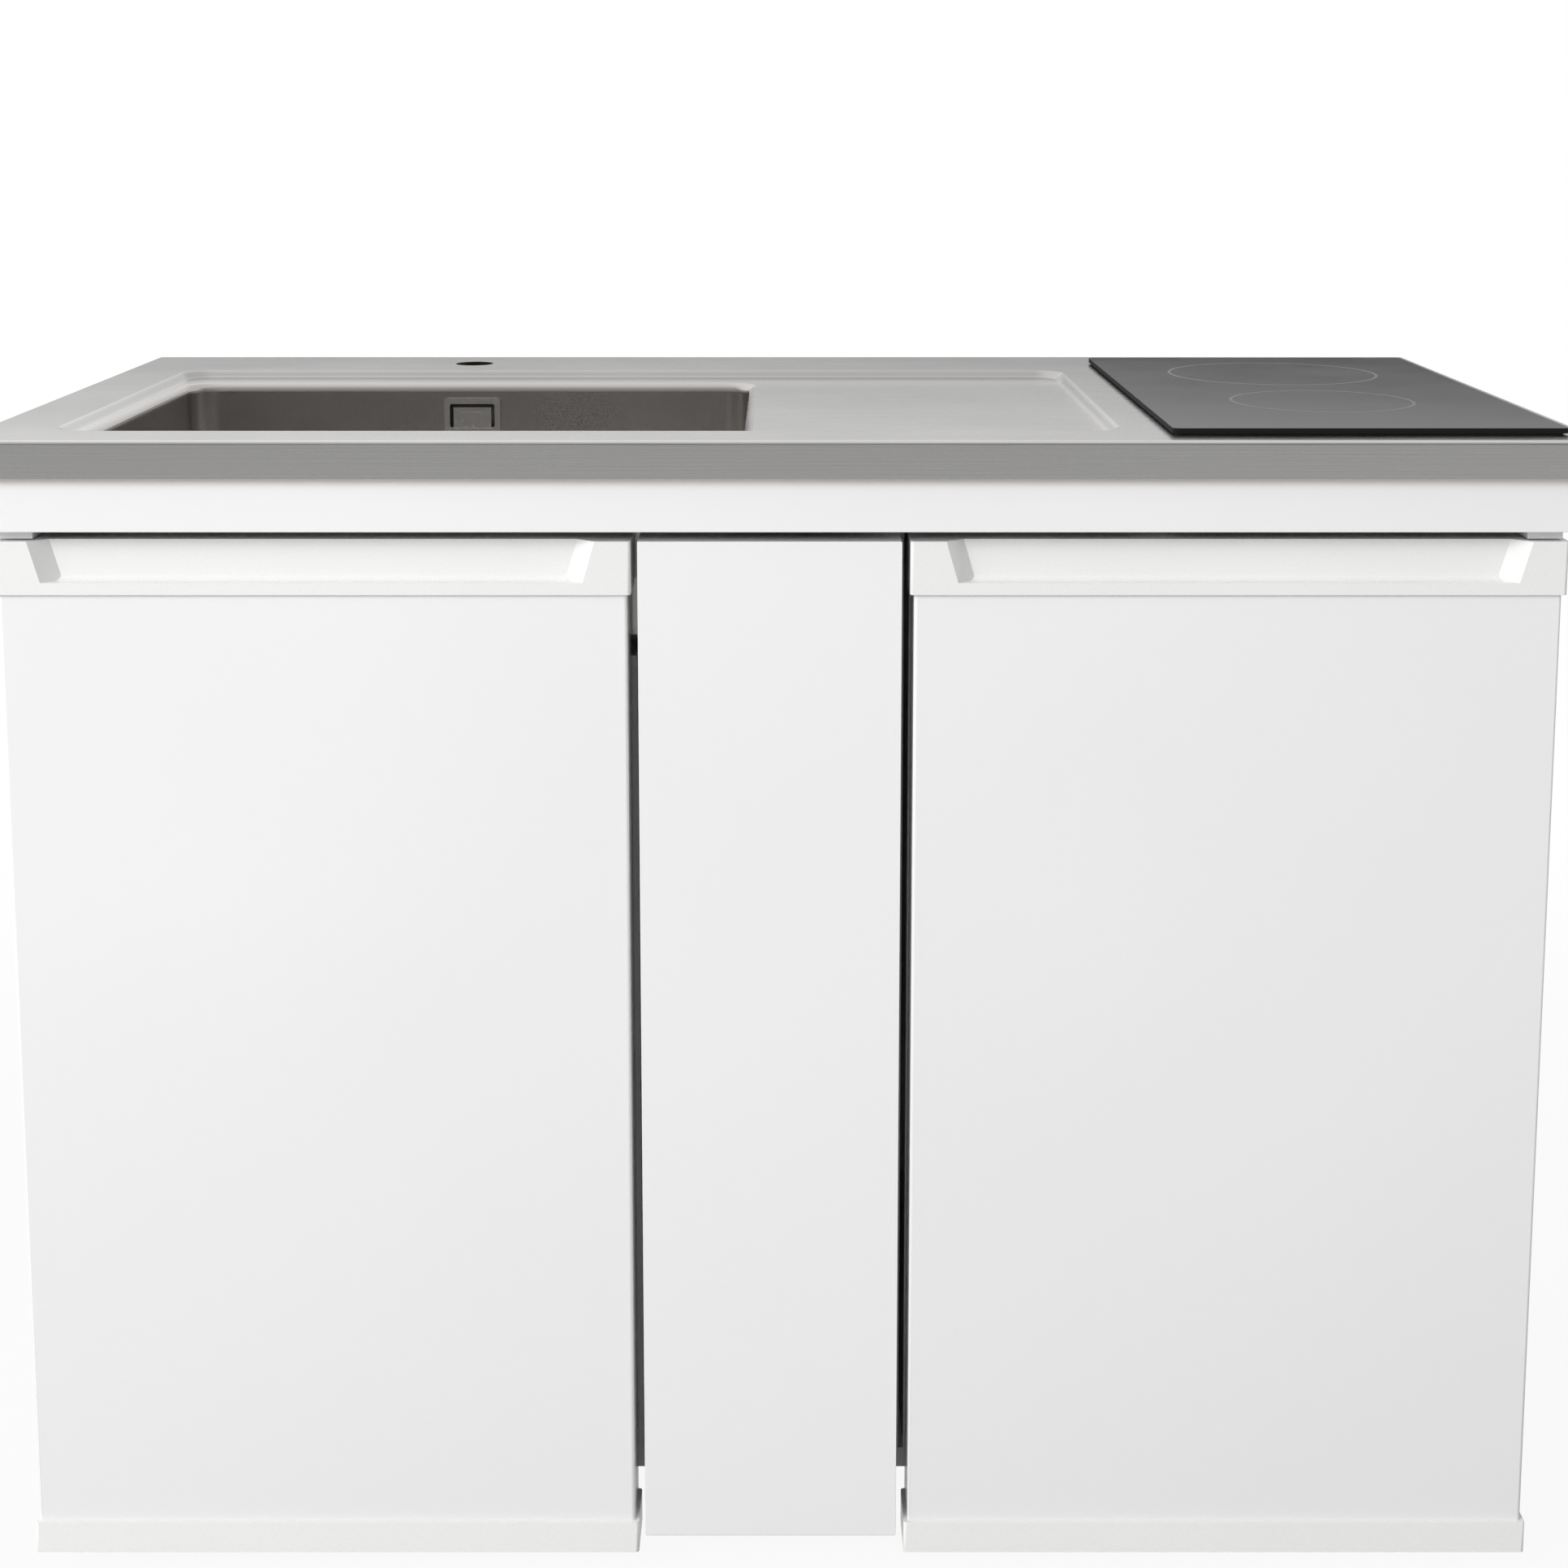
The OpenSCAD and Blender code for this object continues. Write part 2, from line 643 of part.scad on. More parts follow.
// Box behind the bowl that collects the overflow's water
module overflow_housing() {
    x = [bowl_mid - overflow_w / 2, bowl_mid + overflow_w / 2];
    y = [bowl_y1 + sheet_t + gap, bowl_y1 + sheet_t + overflow_box_t];
    z = [overflow_top - overflow_h, overflow_top - 4];
    w = overflow_box_wall;
    spigot_r = hose_r - hose_t - pin_clearance;
    color("dimgray") difference() {
        union() {
            block(x, y, z);
            translate([bowl_mid, hose_y, hose_top - 12]) cylinder(r = spigot_r, h = z[0] - hose_top + 13);
        }
        block([x[0] + w, x[1] - w], [y[0] - overshoot, y[1] - w], [z[0] + w, z[1] - w]);
        translate([bowl_mid, hose_y, hose_top - 13]) cylinder(r = spigot_r - 1.5, h = 30);
    }
}

// Tube from the overflow down to the waste
module overflow_hose() {
    end_y = waste_at.y + waste_cup_r + 4;
    bend_y = hose_y - hose_bend_r;
    bend_z = hose_z + hose_bend_r;
    module run(r, extra) {
        translate([bowl_mid, hose_y, bend_z]) cylinder(r = r, h = hose_top - bend_z + extra);
        translate([bowl_mid, bend_y, bend_z]) rotate([90, 0, 90]) rotate([0, 0, -90])
            rotate_extrude(angle = 90) translate([hose_bend_r, 0]) circle(r);
        rod_y(bowl_mid, [end_y - extra, bend_y], hose_z, r);
    }
    color("whitesmoke") difference() {
        run(hose_r, 0);
        run(hose_r - hose_t, overshoot);
    }
}

// Bottle of the trap, with its inlet and its outlet
module trap_body() {
    inlet_r = waste_tail_r - pipe_t - 1;
    top = trap_z + trap_body_h;
    color("white") difference() {
        union() {
            translate([waste_at.x, waste_at.y, trap_z]) cylinder(r = trap_r, h = trap_body_h);
            translate([waste_at.x, waste_at.y, top]) cylinder(r = waste_tail_r, h = trap_top - gap - top);
            rod_y(waste_at.x, [waste_at.y, joint_y], outlet_z, pipe_r);
        }
        translate([waste_at.x, waste_at.y, trap_z - overshoot])
            cylinder(r = trap_r - pipe_t, h = trap_body_h - pipe_t + overshoot);
        translate([waste_at.x, waste_at.y, top - 2 * pipe_t]) cylinder(r = inlet_r, h = 60);
        rod_y(waste_at.x, [waste_at.y, joint_y + overshoot], outlet_z, pipe_r - pipe_t);
    }
}

// Cup that unscrews from the bottom of the trap
module trap_cup() {
    top = trap_z - gap;
    color("white") translate([waste_at.x, waste_at.y, top - trap_cup_h]) difference() {
        union() {
            cylinder(r = trap_r, h = trap_cup_h);
            for (a = [0:45:315]) rotate([0, 0, a]) translate([trap_r, 0, 6])
                cylinder(r = 2.5, h = trap_cup_h - 12);
        }
        translate([0, 0, pipe_t]) cylinder(r = trap_r - pipe_t, h = trap_cup_h);
    }
}

// The two union nuts of the trap
module trap_nuts() {
    h = 20;
    color("gainsboro") {
        translate([waste_at.x, waste_at.y, trap_top - h / 2]) difference() {
            cylinder(r = waste_tail_r + nut_wall, h = h);
            translate([0, 0, -overshoot]) cylinder(r = waste_tail_r + pin_clearance, h = h + 2 * overshoot);
        }
        difference() {
            rod_y(waste_at.x, [joint_y - h / 2, joint_y + h / 2], outlet_z, pipe_r + nut_wall);
            rod_y(waste_at.x, [joint_y - h, joint_y + h], outlet_z, pipe_r + pin_clearance);
        }
    }
}

// Pipe from the trap out through the cabinet's back, with a stop ring for the joint on its end
module waste_pipe() {
    stop_y = pipe_end_y - pipe_stop;
    color("white") difference() {
        union() {
            rod_y(waste_at.x, [joint_y + gap, pipe_end_y], outlet_z, pipe_r);
            rod_y(waste_at.x, [stop_y - 4, stop_y], outlet_z, pipe_r + 2);
        }
        rod_y(waste_at.x, [joint_y - overshoot, pipe_end_y + overshoot], outlet_z, pipe_r - pipe_t);
    }
}

// Glass plate of the hob
module hob_glass() {
    color([0.1, 0.1, 0.1]) round_plate([hob_x0, hob_x1], [hob_y0, hob_y1],
        [glass_z, glass_z + glass_t], hob_corner_r);
}

// Seal between the glass and the worktop
module hob_seal() {
    inset = 3;
    color([0.15, 0.15, 0.15]) difference() {
        round_plate([hob_x0 + inset, hob_x1 - inset], [hob_y0 + inset, hob_y1 - inset],
            [unit_h, glass_z], hob_corner_r);
        round_plate([cut_x0 - inset, cut_x1 + inset], [cut_y0 - inset, cut_y1 + inset],
            [unit_h - overshoot, glass_z + overshoot], hob_corner_r);
    }
}

// Steel tray that holds the heating elements under the glass
module hob_tray() {
    color("lightsteelblue") difference() {
        block([tray_x0, tray_x1], [tray_y0, tray_y1], [tray_z, glass_z]);
        block([tray_x0 + tray_t, tray_x1 - tray_t], [tray_y0 + tray_t, tray_y1 - tray_t],
            [tray_z + tray_t, glass_z + overshoot]);
        translate([hob_mid, rear_zone_y, tray_z - overshoot]) cylinder(r = 6, h = 4);
    }
}

// A radiant element: a lined dish with its heating ring, on a spring post
module element(y, r) {
    top = glass_z - gap;
    floor_z = tray_z + tray_t;
    color("dimgray") translate([hob_mid, y, 0]) {
        difference() {
            translate([0, 0, top - element_h]) cylinder(r = r, h = element_h);
            translate([0, 0, top - element_h + 10]) cylinder(r = r - element_wall, h = element_h);
        }
        for (turn = [0.3, 0.5, 0.7, 0.85]) translate([0, 0, top - element_h + 9]) difference() {
            cylinder(r = r * turn + 2, h = 4);
            translate([0, 0, -overshoot]) cylinder(r = r * turn - 2, h = 6);
        }
        for (side = [-1, 1]) translate([side * r / 2, 0, floor_z])
            cylinder(r = element_leg_r, h = top - element_h - floor_z);
    }
}

module front_element() {
    element(front_zone_y, front_zone_r);
}

module rear_element() {
    element(rear_zone_y, rear_zone_r);
}

// Touch control board under the front of the glass
module hob_control_board() {
    x = [hob_mid - board_w / 2, hob_mid + board_w / 2];
    top = glass_z - gap;
    plate_z = top - 12;
    color("seagreen") {
        block(x, [board_y0, board_y0 + board_d], [plate_z, plate_z + 1.6]);
        for (i = [-2:2]) translate([hob_mid + i * key_pitch, board_y0 + board_d / 2, plate_z + 1.6])
            cylinder(r = 7, h = top - plate_z - 1.6);
        for (sx = [x[0] + 8, x[1] - 8], sy = [board_y0 + 8, board_y0 + board_d - 8])
            translate([sx, sy, tray_z + tray_t]) cylinder(r = 4, h = plate_z - tray_z - tray_t);
    }
}

// Clips that pull the tray down against the battens
module hob_clips() {
    reach = 11;
    t = 3;
    z0 = tray_z + 4;
    z1 = worktop_under - gap;
    color("slategray") for (side = [-1, 1]) {
        mid = hob_mid + side * clip_side;
        x = [mid - clip_w / 2, mid + clip_w / 2];
        block(x, [tray_y0 - gap - t, tray_y0 - gap], [z0, z1]);
        block(x, [tray_y0 - gap - reach, tray_y0 - gap], [z1 - t, z1]);
        block(x, [tray_y1 + gap, tray_y1 + gap + t], [z0, z1]);
        block(x, [tray_y1 + gap, tray_y1 + gap + reach], [z1 - t, z1]);
    }
}

// Box for the hob's supply, with the entry for its lead
module hob_terminal_box() {
    h = 15;
    x = [hob_mid - 40, hob_mid + 40];
    y = [rear_zone_y - 30, rear_zone_y + 40];
    z = [tray_z - gap - h, tray_z - gap];
    color("whitesmoke") difference() {
        union() {
            block(x, y, z);
            rod_y(hob_mid, [y[1] - 1, y[1] + 12], z[0] + h / 2, 6.5);
        }
        block([x[0] + 2, x[1] - 2], [y[0] + 2, y[1] - 2], [z[0] + 2, z[1] + overshoot]);
        rod_y(hob_mid, [y[1] - 3, y[1] + 13], z[0] + h / 2, 4.5);
    }
}

// Folded steel fascia below the worktop
module fascia_panel() {
    x = [left + fascia_inset, right - fascia_inset];
    color("white") difference() {
        block(x, [fascia_y, fascia_y + fascia_t], [fascia_z, fascia_z + fascia_h]);
        block([x[0] + panel_t, x[1] - panel_t], [fascia_y + panel_t, fascia_y + fascia_t + overshoot],
            [fascia_z + panel_t, fascia_z + fascia_h - panel_t]);
    }
}

// Timber frame that carries the worktop
module top_frame() {
    z = [frame_z, frame_top];
    y = [frame_front_y, cabinet_back_y - back_t - gap];
    bar = frame_bar_w;
    cross_xs = [fridge_partition_x1 - bar, drainer_x1 + 7];
    color("whitesmoke") {
        block([cabinet_x0, cabinet_x1], [y[0], y[0] + frame_front_t], z);
        block([cabinet_x0, cabinet_x1], [y[1] - bar, y[1]], z);
        for (x = [cabinet_x0, cabinet_x1 - frame_side_w]) block([x, x + frame_side_w], y, z);
        for (x = cross_xs) block([x, x + bar], y, z);
    }
}

// A side board of the cabinet with its front flange, which points inwards
module side_board(x0, flange_x) {
    block([x0, x0 + board_t], [cabinet_front, cabinet_back_y], [floor_top, frame_z]);
    block(flange_x, [cabinet_front, cabinet_front + flange_t], [floor_top, door_top]);
}

module cabinet_left_side() {
    color("white") union() side_board(cabinet_x0, [cabinet_x0, cabinet_x0 + flange_w]);
}

module cabinet_right_side() {
    color("white") block([cabinet_x1 - board_t, cabinet_x1], [cabinet_front, cabinet_back_y],
        [floor_top, frame_z]);
}

// Board between the sink cupboard and the centre bay, cut out under the bowl
module sink_partition() {
    rear_y = bowl_y1 + sheet_t + 12;
    y = [cabinet_front, cabinet_back_y - back_t - gap];
    color("white") {
        along_x([partition_x0, partition_x1]) polygon([
            [y[0], floor_top], [y[1], floor_top], [y[1], frame_z], [rear_y, frame_z],
            [rear_y, partition_low], [y[0], partition_low]]);
        block([partition_x1 - flange_w, partition_x1], [y[0], y[0] + flange_t],
            [floor_top, partition_low]);
    }
}

// Board between the centre bay and the fridge
module fridge_partition() {
    color("white") block([fridge_partition_x0, fridge_partition_x1],
        [cabinet_front, cabinet_back_y - back_t - gap], [floor_top, frame_z]);
}

// Bottom board under the whole cabinet
module cabinet_floor() {
    color("white") block([cabinet_x0, cabinet_x1], [cabinet_front, cabinet_back_y],
        [foot_h, floor_top]);
}

// Back panel of the cupboard and the centre bay, with the service opening round the waste pipe
module cabinet_back() {
    x = [cabinet_x0 + board_t + gap, fridge_partition_x1];
    y = [cabinet_back_y - back_t, cabinet_back_y];
    color("white") difference() {
        block(x, y, [floor_top, frame_top]);
        block([waste_at.x - service_w / 2, waste_at.x + service_w / 2],
            [y[0] - overshoot, y[1] + overshoot],
            [outlet_z - service_h / 2, outlet_z + service_h / 2]);
    }
}

// Levelling feet
module levelling_feet() {
    pad_h = 8;
    stem_r = 6;
    xs = [cabinet_x0 + 40, partition_x0 - 30, fridge_partition_x1 + 40, cabinet_x1 - 40];
    color("dimgray") for (x = xs, y = [cabinet_front + 90, cabinet_back_y - 50]) translate([x, y, 0]) {
        cylinder(r = foot_r, h = pad_h);
        cylinder(r = stem_r, h = foot_h);
        translate([0, 0, foot_h - pad_h]) cylinder(r = foot_r - 4, h = pad_h);
    }
}

// Fixed panel between the doors, folded back to the cabinet
module centre_panel() {
    x = [centre_x0, centre_x1];
    y = [door_y, cabinet_front];
    z = [centre_panel_z, door_top];
    t = panel_t;
    color("white") difference() {
        block(x, y, z);
        block([x[0] + t, x[1] - t], [y[0] + t, y[1] + overshoot], [z[0] + t, z[1] - t]);
    }
}

// Steel skin of a door: the front and both sides, folded
module door_skin(x0, x1) {
    x = [x0 + cap_proud, x1 - cap_proud];
    y = [door_y + cap_proud, door_back];
    color("white") difference() {
        round_plate(x, [y[0], y[1] + cap_edge_r], [panel_z0, panel_z1], cap_edge_r);
        block([x[0] + panel_t, x[1] - panel_t], [y[0] + panel_t, y[1] + 2 * cap_edge_r],
            [panel_z0 - overshoot, panel_z1 + overshoot]);
        block([x[0] - overshoot, x[1] + overshoot], [y[1], y[1] + 2 * cap_edge_r],
            [panel_z0 - overshoot, panel_z1 + overshoot]);
    }
}

// The hole for a hinge pin, open towards the pin's bracket
module pin_hole(pin_x, z) {
    translate([pin_x, pin_y, z[0]]) cylinder(r = pin_r + pin_clearance, h = z[1] - z[0]);
}

// The finger grip: a hollow in the cap's front and top, with ramped ends that lean inwards
module grip(x0, x1) {
    floor_z = door_top - grip_h;
    fillet = 5;
    ramp = 13;
    lean = 9;
    ends = [x0 + grip_end, x1 - grip_end];
    difference() {
        along_x(ends) polygon(concat(
            [[door_y - overshoot, door_top + overshoot], [door_y - overshoot, floor_z]],
            arc([door_y + grip_depth - fillet, floor_z + fillet], fillet, -90, 0),
            [[door_y + grip_depth, door_top + overshoot]]));
        for (side = [0, 1]) translate([ends[side], door_y, floor_z]) mirror([side, 0, 0])
            rotate([0, -atan(lean / grip_h), 0]) linear_extrude(3 * grip_h, center = true)
                translate([lean, 0]) polygon([
                    [-ramp / 2, -grip_depth / 2], [1.5 * ramp, 1.5 * grip_depth],
                    [-2 * ramp, 1.5 * grip_depth], [-2 * ramp, -grip_depth / 2]]);
    }
}

// Moulded top cap of a door
module top_cap(x0, x1, pin_x) {
    hollow = 36;
    color("ivory") difference() {
        round_plate([x0, x1], [door_y, door_back], [panel_z1, door_top], cap_edge_r);
        grip(x0, x1);
        block([x0 + hollow, x1 - hollow],
            [door_y + grip_depth + cap_wall, door_back - cap_wall],
            [panel_z1 - overshoot, door_top - cap_wall]);
        pin_hole(pin_x, [door_top - pin_len - 1, door_top + overshoot]);
    }
}

// Moulded bottom cap of a door
module bottom_cap(x0, x1, pin_x) {
    hollow = 36;
    color("white") difference() {
        round_plate([x0, x1], [door_y, door_back], [door_z, panel_z0], cap_edge_r);
        block([x0 + hollow, x1 - hollow], [door_y + cap_wall + 2, door_back - cap_wall],
            [door_z + cap_wall, panel_z0 + overshoot]);
        pin_hole(pin_x, [door_z - overshoot, door_z + pin_len + 1]);
    }
}

// The filling inside a door's skin
module door_filling(x0, x1) {
    inset = cap_proud + panel_t + gap;
    block([x0 + inset, x1 - inset], [door_y + cap_proud + panel_t + gap, door_back - door_back_t - gap],
        [panel_z0 + gap, panel_z1 - gap]);
}

// The flat inner panel of a door
module door_inner(x0, x1) {
    inset = cap_proud + panel_t + gap;
    block([x0 + inset, x1 - inset], [door_back - door_back_t, door_back], [panel_z0 + gap, panel_z1 - gap]);
}

// Top and bottom brackets of a door, each with its pin
module door_hinges(pin_x) {
    x = [pin_x - bracket_w / 2, pin_x + bracket_w / 2];
    plate_z = door_top + 1;
    low_z = door_z - 2 - bracket_t;
    leg_y = cabinet_front + 3;
    color("gainsboro") {
        block(x, [frame_front_y, cabinet_front], [plate_z, frame_z]);
        translate([pin_x, pin_y, door_top - pin_len]) cylinder(r = pin_r, h = plate_z - door_top + pin_len + 1);
        block(x, [pin_y - 14, leg_y + 3], [low_z, low_z + bracket_t]);
        block(x, [leg_y, leg_y + 3], [low_z, foot_h]);
        block(x, [leg_y, leg_y + 34], [foot_h - 3, foot_h]);
        translate([pin_x, pin_y, low_z + 1]) cylinder(r = pin_r, h = door_z + pin_len - low_z - 1);
    }
}

module sink_door_panel() {
    door_skin(sink_door_x0, sink_door_x1);
}

module sink_door_top_cap() {
    top_cap(sink_door_x0, sink_door_x1, sink_pin_x);
}

module sink_door_bottom_cap() {
    bottom_cap(sink_door_x0, sink_door_x1, sink_pin_x);
}

module sink_door_core() {
    color("khaki") door_filling(sink_door_x0, sink_door_x1);
}

module sink_door_inner_panel() {
    color("whitesmoke") door_inner(sink_door_x0, sink_door_x1);
}

// Rubber buffers on the cupboard door
module sink_door_buffers() {
    xs = [cabinet_x0 + flange_w - 10, partition_x1 - 26];
    color("gray") for (x = xs, z = [panel_z0 + 60, partition_low - 40])
        rod_y(x, [door_back, cabinet_front - gap], z, 7);
}

module sink_door_hinges() {
    door_hinges(sink_pin_x);
}

// Magnet that holds the cupboard door shut
module magnet_catch() {
    z = (panel_z0 + partition_low) / 2;
    color("dimgray") block([partition_x1 - 30, partition_x1 - 12], [door_back + gap, cabinet_front],
        [z - 25, z + 25]);
}

// Outline of the fridge's body in Y and Z, m inside its outer faces
module fridge_outline(m, y0) {
    recess_y = fridge_y1 - recess_d;
    polygon([
        [y0, fridge_z0 + m], [recess_y - m, fridge_z0 + m],
        [recess_y - m, fridge_z0 + recess_h + m], [fridge_y1 - m, fridge_z0 + recess_h + m],
        [fridge_y1 - m, fridge_z1 - m], [y0, fridge_z1 - m]]);
}

// Outline of the fridge's inner space, grown by m
module room_outline(m, y0) {
    polygon([
        [y0, room_z0 - m], [step_y + m, room_z0 - m], [step_y + m, step_z - m],
        [room_y1 + m, step_z - m], [room_y1 + m, room_z1 + m], [y0, room_z1 + m]]);
}

module fridge_case() {
    color("white") difference() {
        along_x([fridge_x0, fridge_x1]) fridge_outline(0, cabinet_front);
        along_x([fridge_x0 + case_t, fridge_x1 - case_t])
            fridge_outline(case_t, cabinet_front - overshoot);
    }
}

module fridge_insulation() {
    color("khaki") difference() {
        along_x([fridge_x0 + case_t, fridge_x1 - case_t]) fridge_outline(case_t, cabinet_front + liner_t);
        along_x([room_x0 - liner_t, room_x1 + liner_t]) room_outline(liner_t, cabinet_front - overshoot);
    }
}

// Inner liner with its front frame and the ledges for the shelves
module fridge_liner() {
    ledge_zs = concat([crisper_cover_z], shelf_zs);
    color("white") {
        difference() {
            along_x([room_x0 - liner_t, room_x1 + liner_t]) room_outline(liner_t, cabinet_front);
            along_x([room_x0, room_x1]) room_outline(0, cabinet_front - overshoot);
        }
        difference() {
            block([fridge_x0 + case_t, fridge_x1 - case_t], [cabinet_front, cabinet_front + liner_t],
                [fridge_z0 + case_t, fridge_z1 - case_t]);
            block([room_x0, room_x1], [cabinet_front - overshoot, cabinet_front + 2 * liner_t],
                [room_z0, room_z1]);
        }
        for (i = [0:len(ledge_zs) - 1]) let (end_y = i == 0 ? step_y : room_y1)
            for (x = [room_x0, room_x1 - ledge_w])
                block([x, x + ledge_w], [shelf_front, end_y], [ledge_zs[i] - ledge_h, ledge_zs[i]]);
    }
}

// Aluminium freezer box, open to the front, with ears for the flap's pins
module freezer_box() {
    t = freezer_t;
    color("lightgray") difference() {
        block([freezer_x0, freezer_x1], [flap_y - 2, freezer_y1], [freezer_z0, freezer_z1]);
        block([freezer_x0 + t, freezer_x1 - t], [flap_y - 3, freezer_y1 - t],
            [freezer_z0 + t, freezer_z1 - t]);
        for (z = [[freezer_z0 - overshoot, freezer_z0 + t + 0.01], [freezer_z1 - t - 0.01, freezer_z1 + overshoot]])
            block([freezer_x0 - overshoot, freezer_x1 + overshoot], [flap_y - 3, freezer_y0], z);
        translate([freezer_x0 - overshoot, flap_pin_y, flap_pin_z]) rotate([0, 90, 0])
            cylinder(r = flap_pin_r + pin_clearance, h = freezer_x1 - freezer_x0 + 2 * overshoot);
    }
}

// Flap of the freezer box, on two side pins
module freezer_flap() {
    x = [freezer_x0 + freezer_t + slide_gap, freezer_x1 - freezer_t - slide_gap];
    z = [flap_pin_z - 4, freezer_z1 - freezer_t - 1];
    lip_h = 12;
    color("azure") {
        block(x, [flap_y, flap_y + flap_t], z);
        block([x[0] + flap_grip_inset, x[1] - flap_grip_inset], [flap_y - 10, flap_y],
            [z[1] - lip_h, z[1] - lip_h + 3]);
        translate([freezer_x0, flap_pin_y, flap_pin_z]) rotate([0, 90, 0])
            cylinder(r = flap_pin_r, h = freezer_x1 - freezer_x0);
    }
}

// Two glass shelves and the glass cover over the crisper
module fridge_shelves() {
    x = [room_x0 + slide_gap, room_x1 - slide_gap];
    color("lightcyan") {
        for (z = shelf_zs) block(x, [shelf_front, room_y1 - 2], [z, z + shelf_t]);
        block(x, [shelf_front, step_y - 2], [crisper_cover_z, crisper_cover_z + shelf_t]);
    }
}

// An open box with a wall all round and a floor
module tray(x, y, z, w) {
    difference() {
        block(x, y, z);
        block([x[0] + w, x[1] - w], [y[0] + w, y[1] - w], [z[0] + w, z[1] + overshoot]);
    }
}

// Crisper drawer with a grip along its front
module crisper_drawer() {
    y0 = drawer_y1 - drawer_d;
    z = [room_z0 + gap, room_z0 + gap + drawer_h];
    color("lightcyan") {
        tray([drawer_x0, drawer_x1], [y0, drawer_y1], z, tray_wall);
        block([drawer_x0 + 40, drawer_x1 - 40], [y0 - 10, y0], [z[1] - 16, z[1] - 12]);
    }
}

// Thermostat housing on the right wall of the inner space
module thermostat_housing() {
    x = [thermostat_x0, room_x1];
    y = [thermostat_y0, thermostat_y0 + thermostat_d];
    z = [thermostat_z0, thermostat_z0 + thermostat_h];
    color("white") difference() {
        block(x, y, z);
        block([x[0] + 2, x[1] - 2], [y[0] + 8, y[1] - 2], [z[0] + 2, z[1] - 2]);
        rod_y(knob_at.x, [y[0] - overshoot, y[0] + 9], knob_at.y, knob_shaft_r + pin_clearance);
        block([x[0] - overshoot, x[0] + 3], [y[0] + 30, y[1] - 20], [z[0] + 10, z[1] - 10]);
    }
}

// Turning knob with a pointer, on its shaft
module thermostat_knob() {
    y = [thermostat_y0 - gap - knob_len, thermostat_y0 - gap];
    color("whitesmoke") difference() {
        union() {
            rod_y(knob_at.x, y, knob_at.y, knob_r);
            block([knob_at.x - 2.5, knob_at.x + 2.5], [y[0] - 4, y[1]],
                [knob_at.y - knob_r + 2, knob_at.y + knob_r - 2]);
            rod_y(knob_at.x, [y[1] - 1, thermostat_y0 + 7], knob_at.y, knob_shaft_r);
        }
        block([knob_at.x - 0.6, knob_at.x + 0.6], [y[0] - 5, y[0] - 3],
            [knob_at.y + 3, knob_at.y + knob_r]);
    }
}

// Clear lens over the lamp in the thermostat housing
module lamp_lens() {
    y = [thermostat_y0 + 30 + gap, thermostat_y0 + thermostat_d - 20 - gap];
    z = [thermostat_z0 + 10 + gap, thermostat_z0 + thermostat_h - 10 - gap];
    x = [thermostat_x0 - lens_t, thermostat_x0 + 2];
    color("lightyellow") difference() {
        block(x, y, z);
        block([x[0] + 1.5, x[1] + overshoot], [y[0] + 1.5, y[1] - 1.5], [z[0] + 1.5, z[1] - 1.5]);
    }
}

// Compressor on its mounting plate, in the recess behind the inner space
module compressor() {
    at = [fridge_x0 + compressor_side, fridge_y1 - recess_d / 2];
    plate_z = fridge_z0 + gap;
    dome = 26;
    body_h = recess_h - 36 - dome;
    color([0.15, 0.15, 0.16]) {
        block([fridge_x0 + 10, fridge_x1 - 10], [at.y - recess_d / 2 + 3, at.y + recess_d / 2 - 3],
            [plate_z, plate_z + 2]);
        translate([at.x, at.y, plate_z + 1]) {
            for (a = [45:90:315]) rotate([0, 0, a]) translate([compressor_r - 12, 0, 0])
                cylinder(r = 8, h = 16);
            translate([0, 0, 14]) cylinder(r = compressor_r, h = body_h);
            translate([0, 0, 14 + body_h]) cylinder(r1 = compressor_r, r2 = compressor_r - 22, h = dome);
        }
    }
}

// Condenser on the fridge's back: a plate with a winding tube
module condenser() {
    runs = 10;
    r = 2.5;
    pitch = 44;
    x = [fridge_x0 + 40, fridge_x1 - 40];
    y = fridge_y1 + 14;
    z0 = fridge_z0 + recess_h + 60;
    color([0.12, 0.12, 0.13]) {
        block([x[0] - 20, x[1] + 20], [y, y + 1], [z0 - 24, z0 + (runs - 1) * pitch + 24]);
        for (i = [0:runs - 1]) translate([x[0], y, z0 + i * pitch]) rotate([0, 90, 0])
            cylinder(r = r, h = x[1] - x[0]);
        for (sx = [x[0] - 16, x[1] + 8], z = [z0 - 20, z0 + (runs - 1) * pitch + 10])
            block([sx, sx + 8], [fridge_y1 + gap, y], [z, z + 10]);
    }
}

module fridge_door_panel() {
    door_skin(fridge_door_x0, fridge_door_x1);
}

module fridge_door_top_cap() {
    top_cap(fridge_door_x0, fridge_door_x1, fridge_pin_x);
}

module fridge_door_bottom_cap() {
    bottom_cap(fridge_door_x0, fridge_door_x1, fridge_pin_x);
}

module fridge_door_foam() {
    color("khaki") door_filling(fridge_door_x0, fridge_door_x1);
}

// Inner liner of the fridge door, with two ribs that carry the bins
module fridge_door_liner() {
    rib_z = [bin_zs[0] - bin_ledge_h - gap, bin_zs[1] + bin_h + 4];
    color("white") {
        door_inner(fridge_door_x0, fridge_door_x1);
        for (x = [rib_x0, rib_x1 - rib_w])
            block([x, x + rib_w], [door_back, door_back + bin_d + 4], rib_z);
        for (z = bin_zs, x = [rib_x0, rib_x1 - rib_w - 10])
            block([x, x + rib_w + 10], [door_back, door_back + bin_d],
                [z - bin_ledge_h - gap, z - gap]);
    }
}

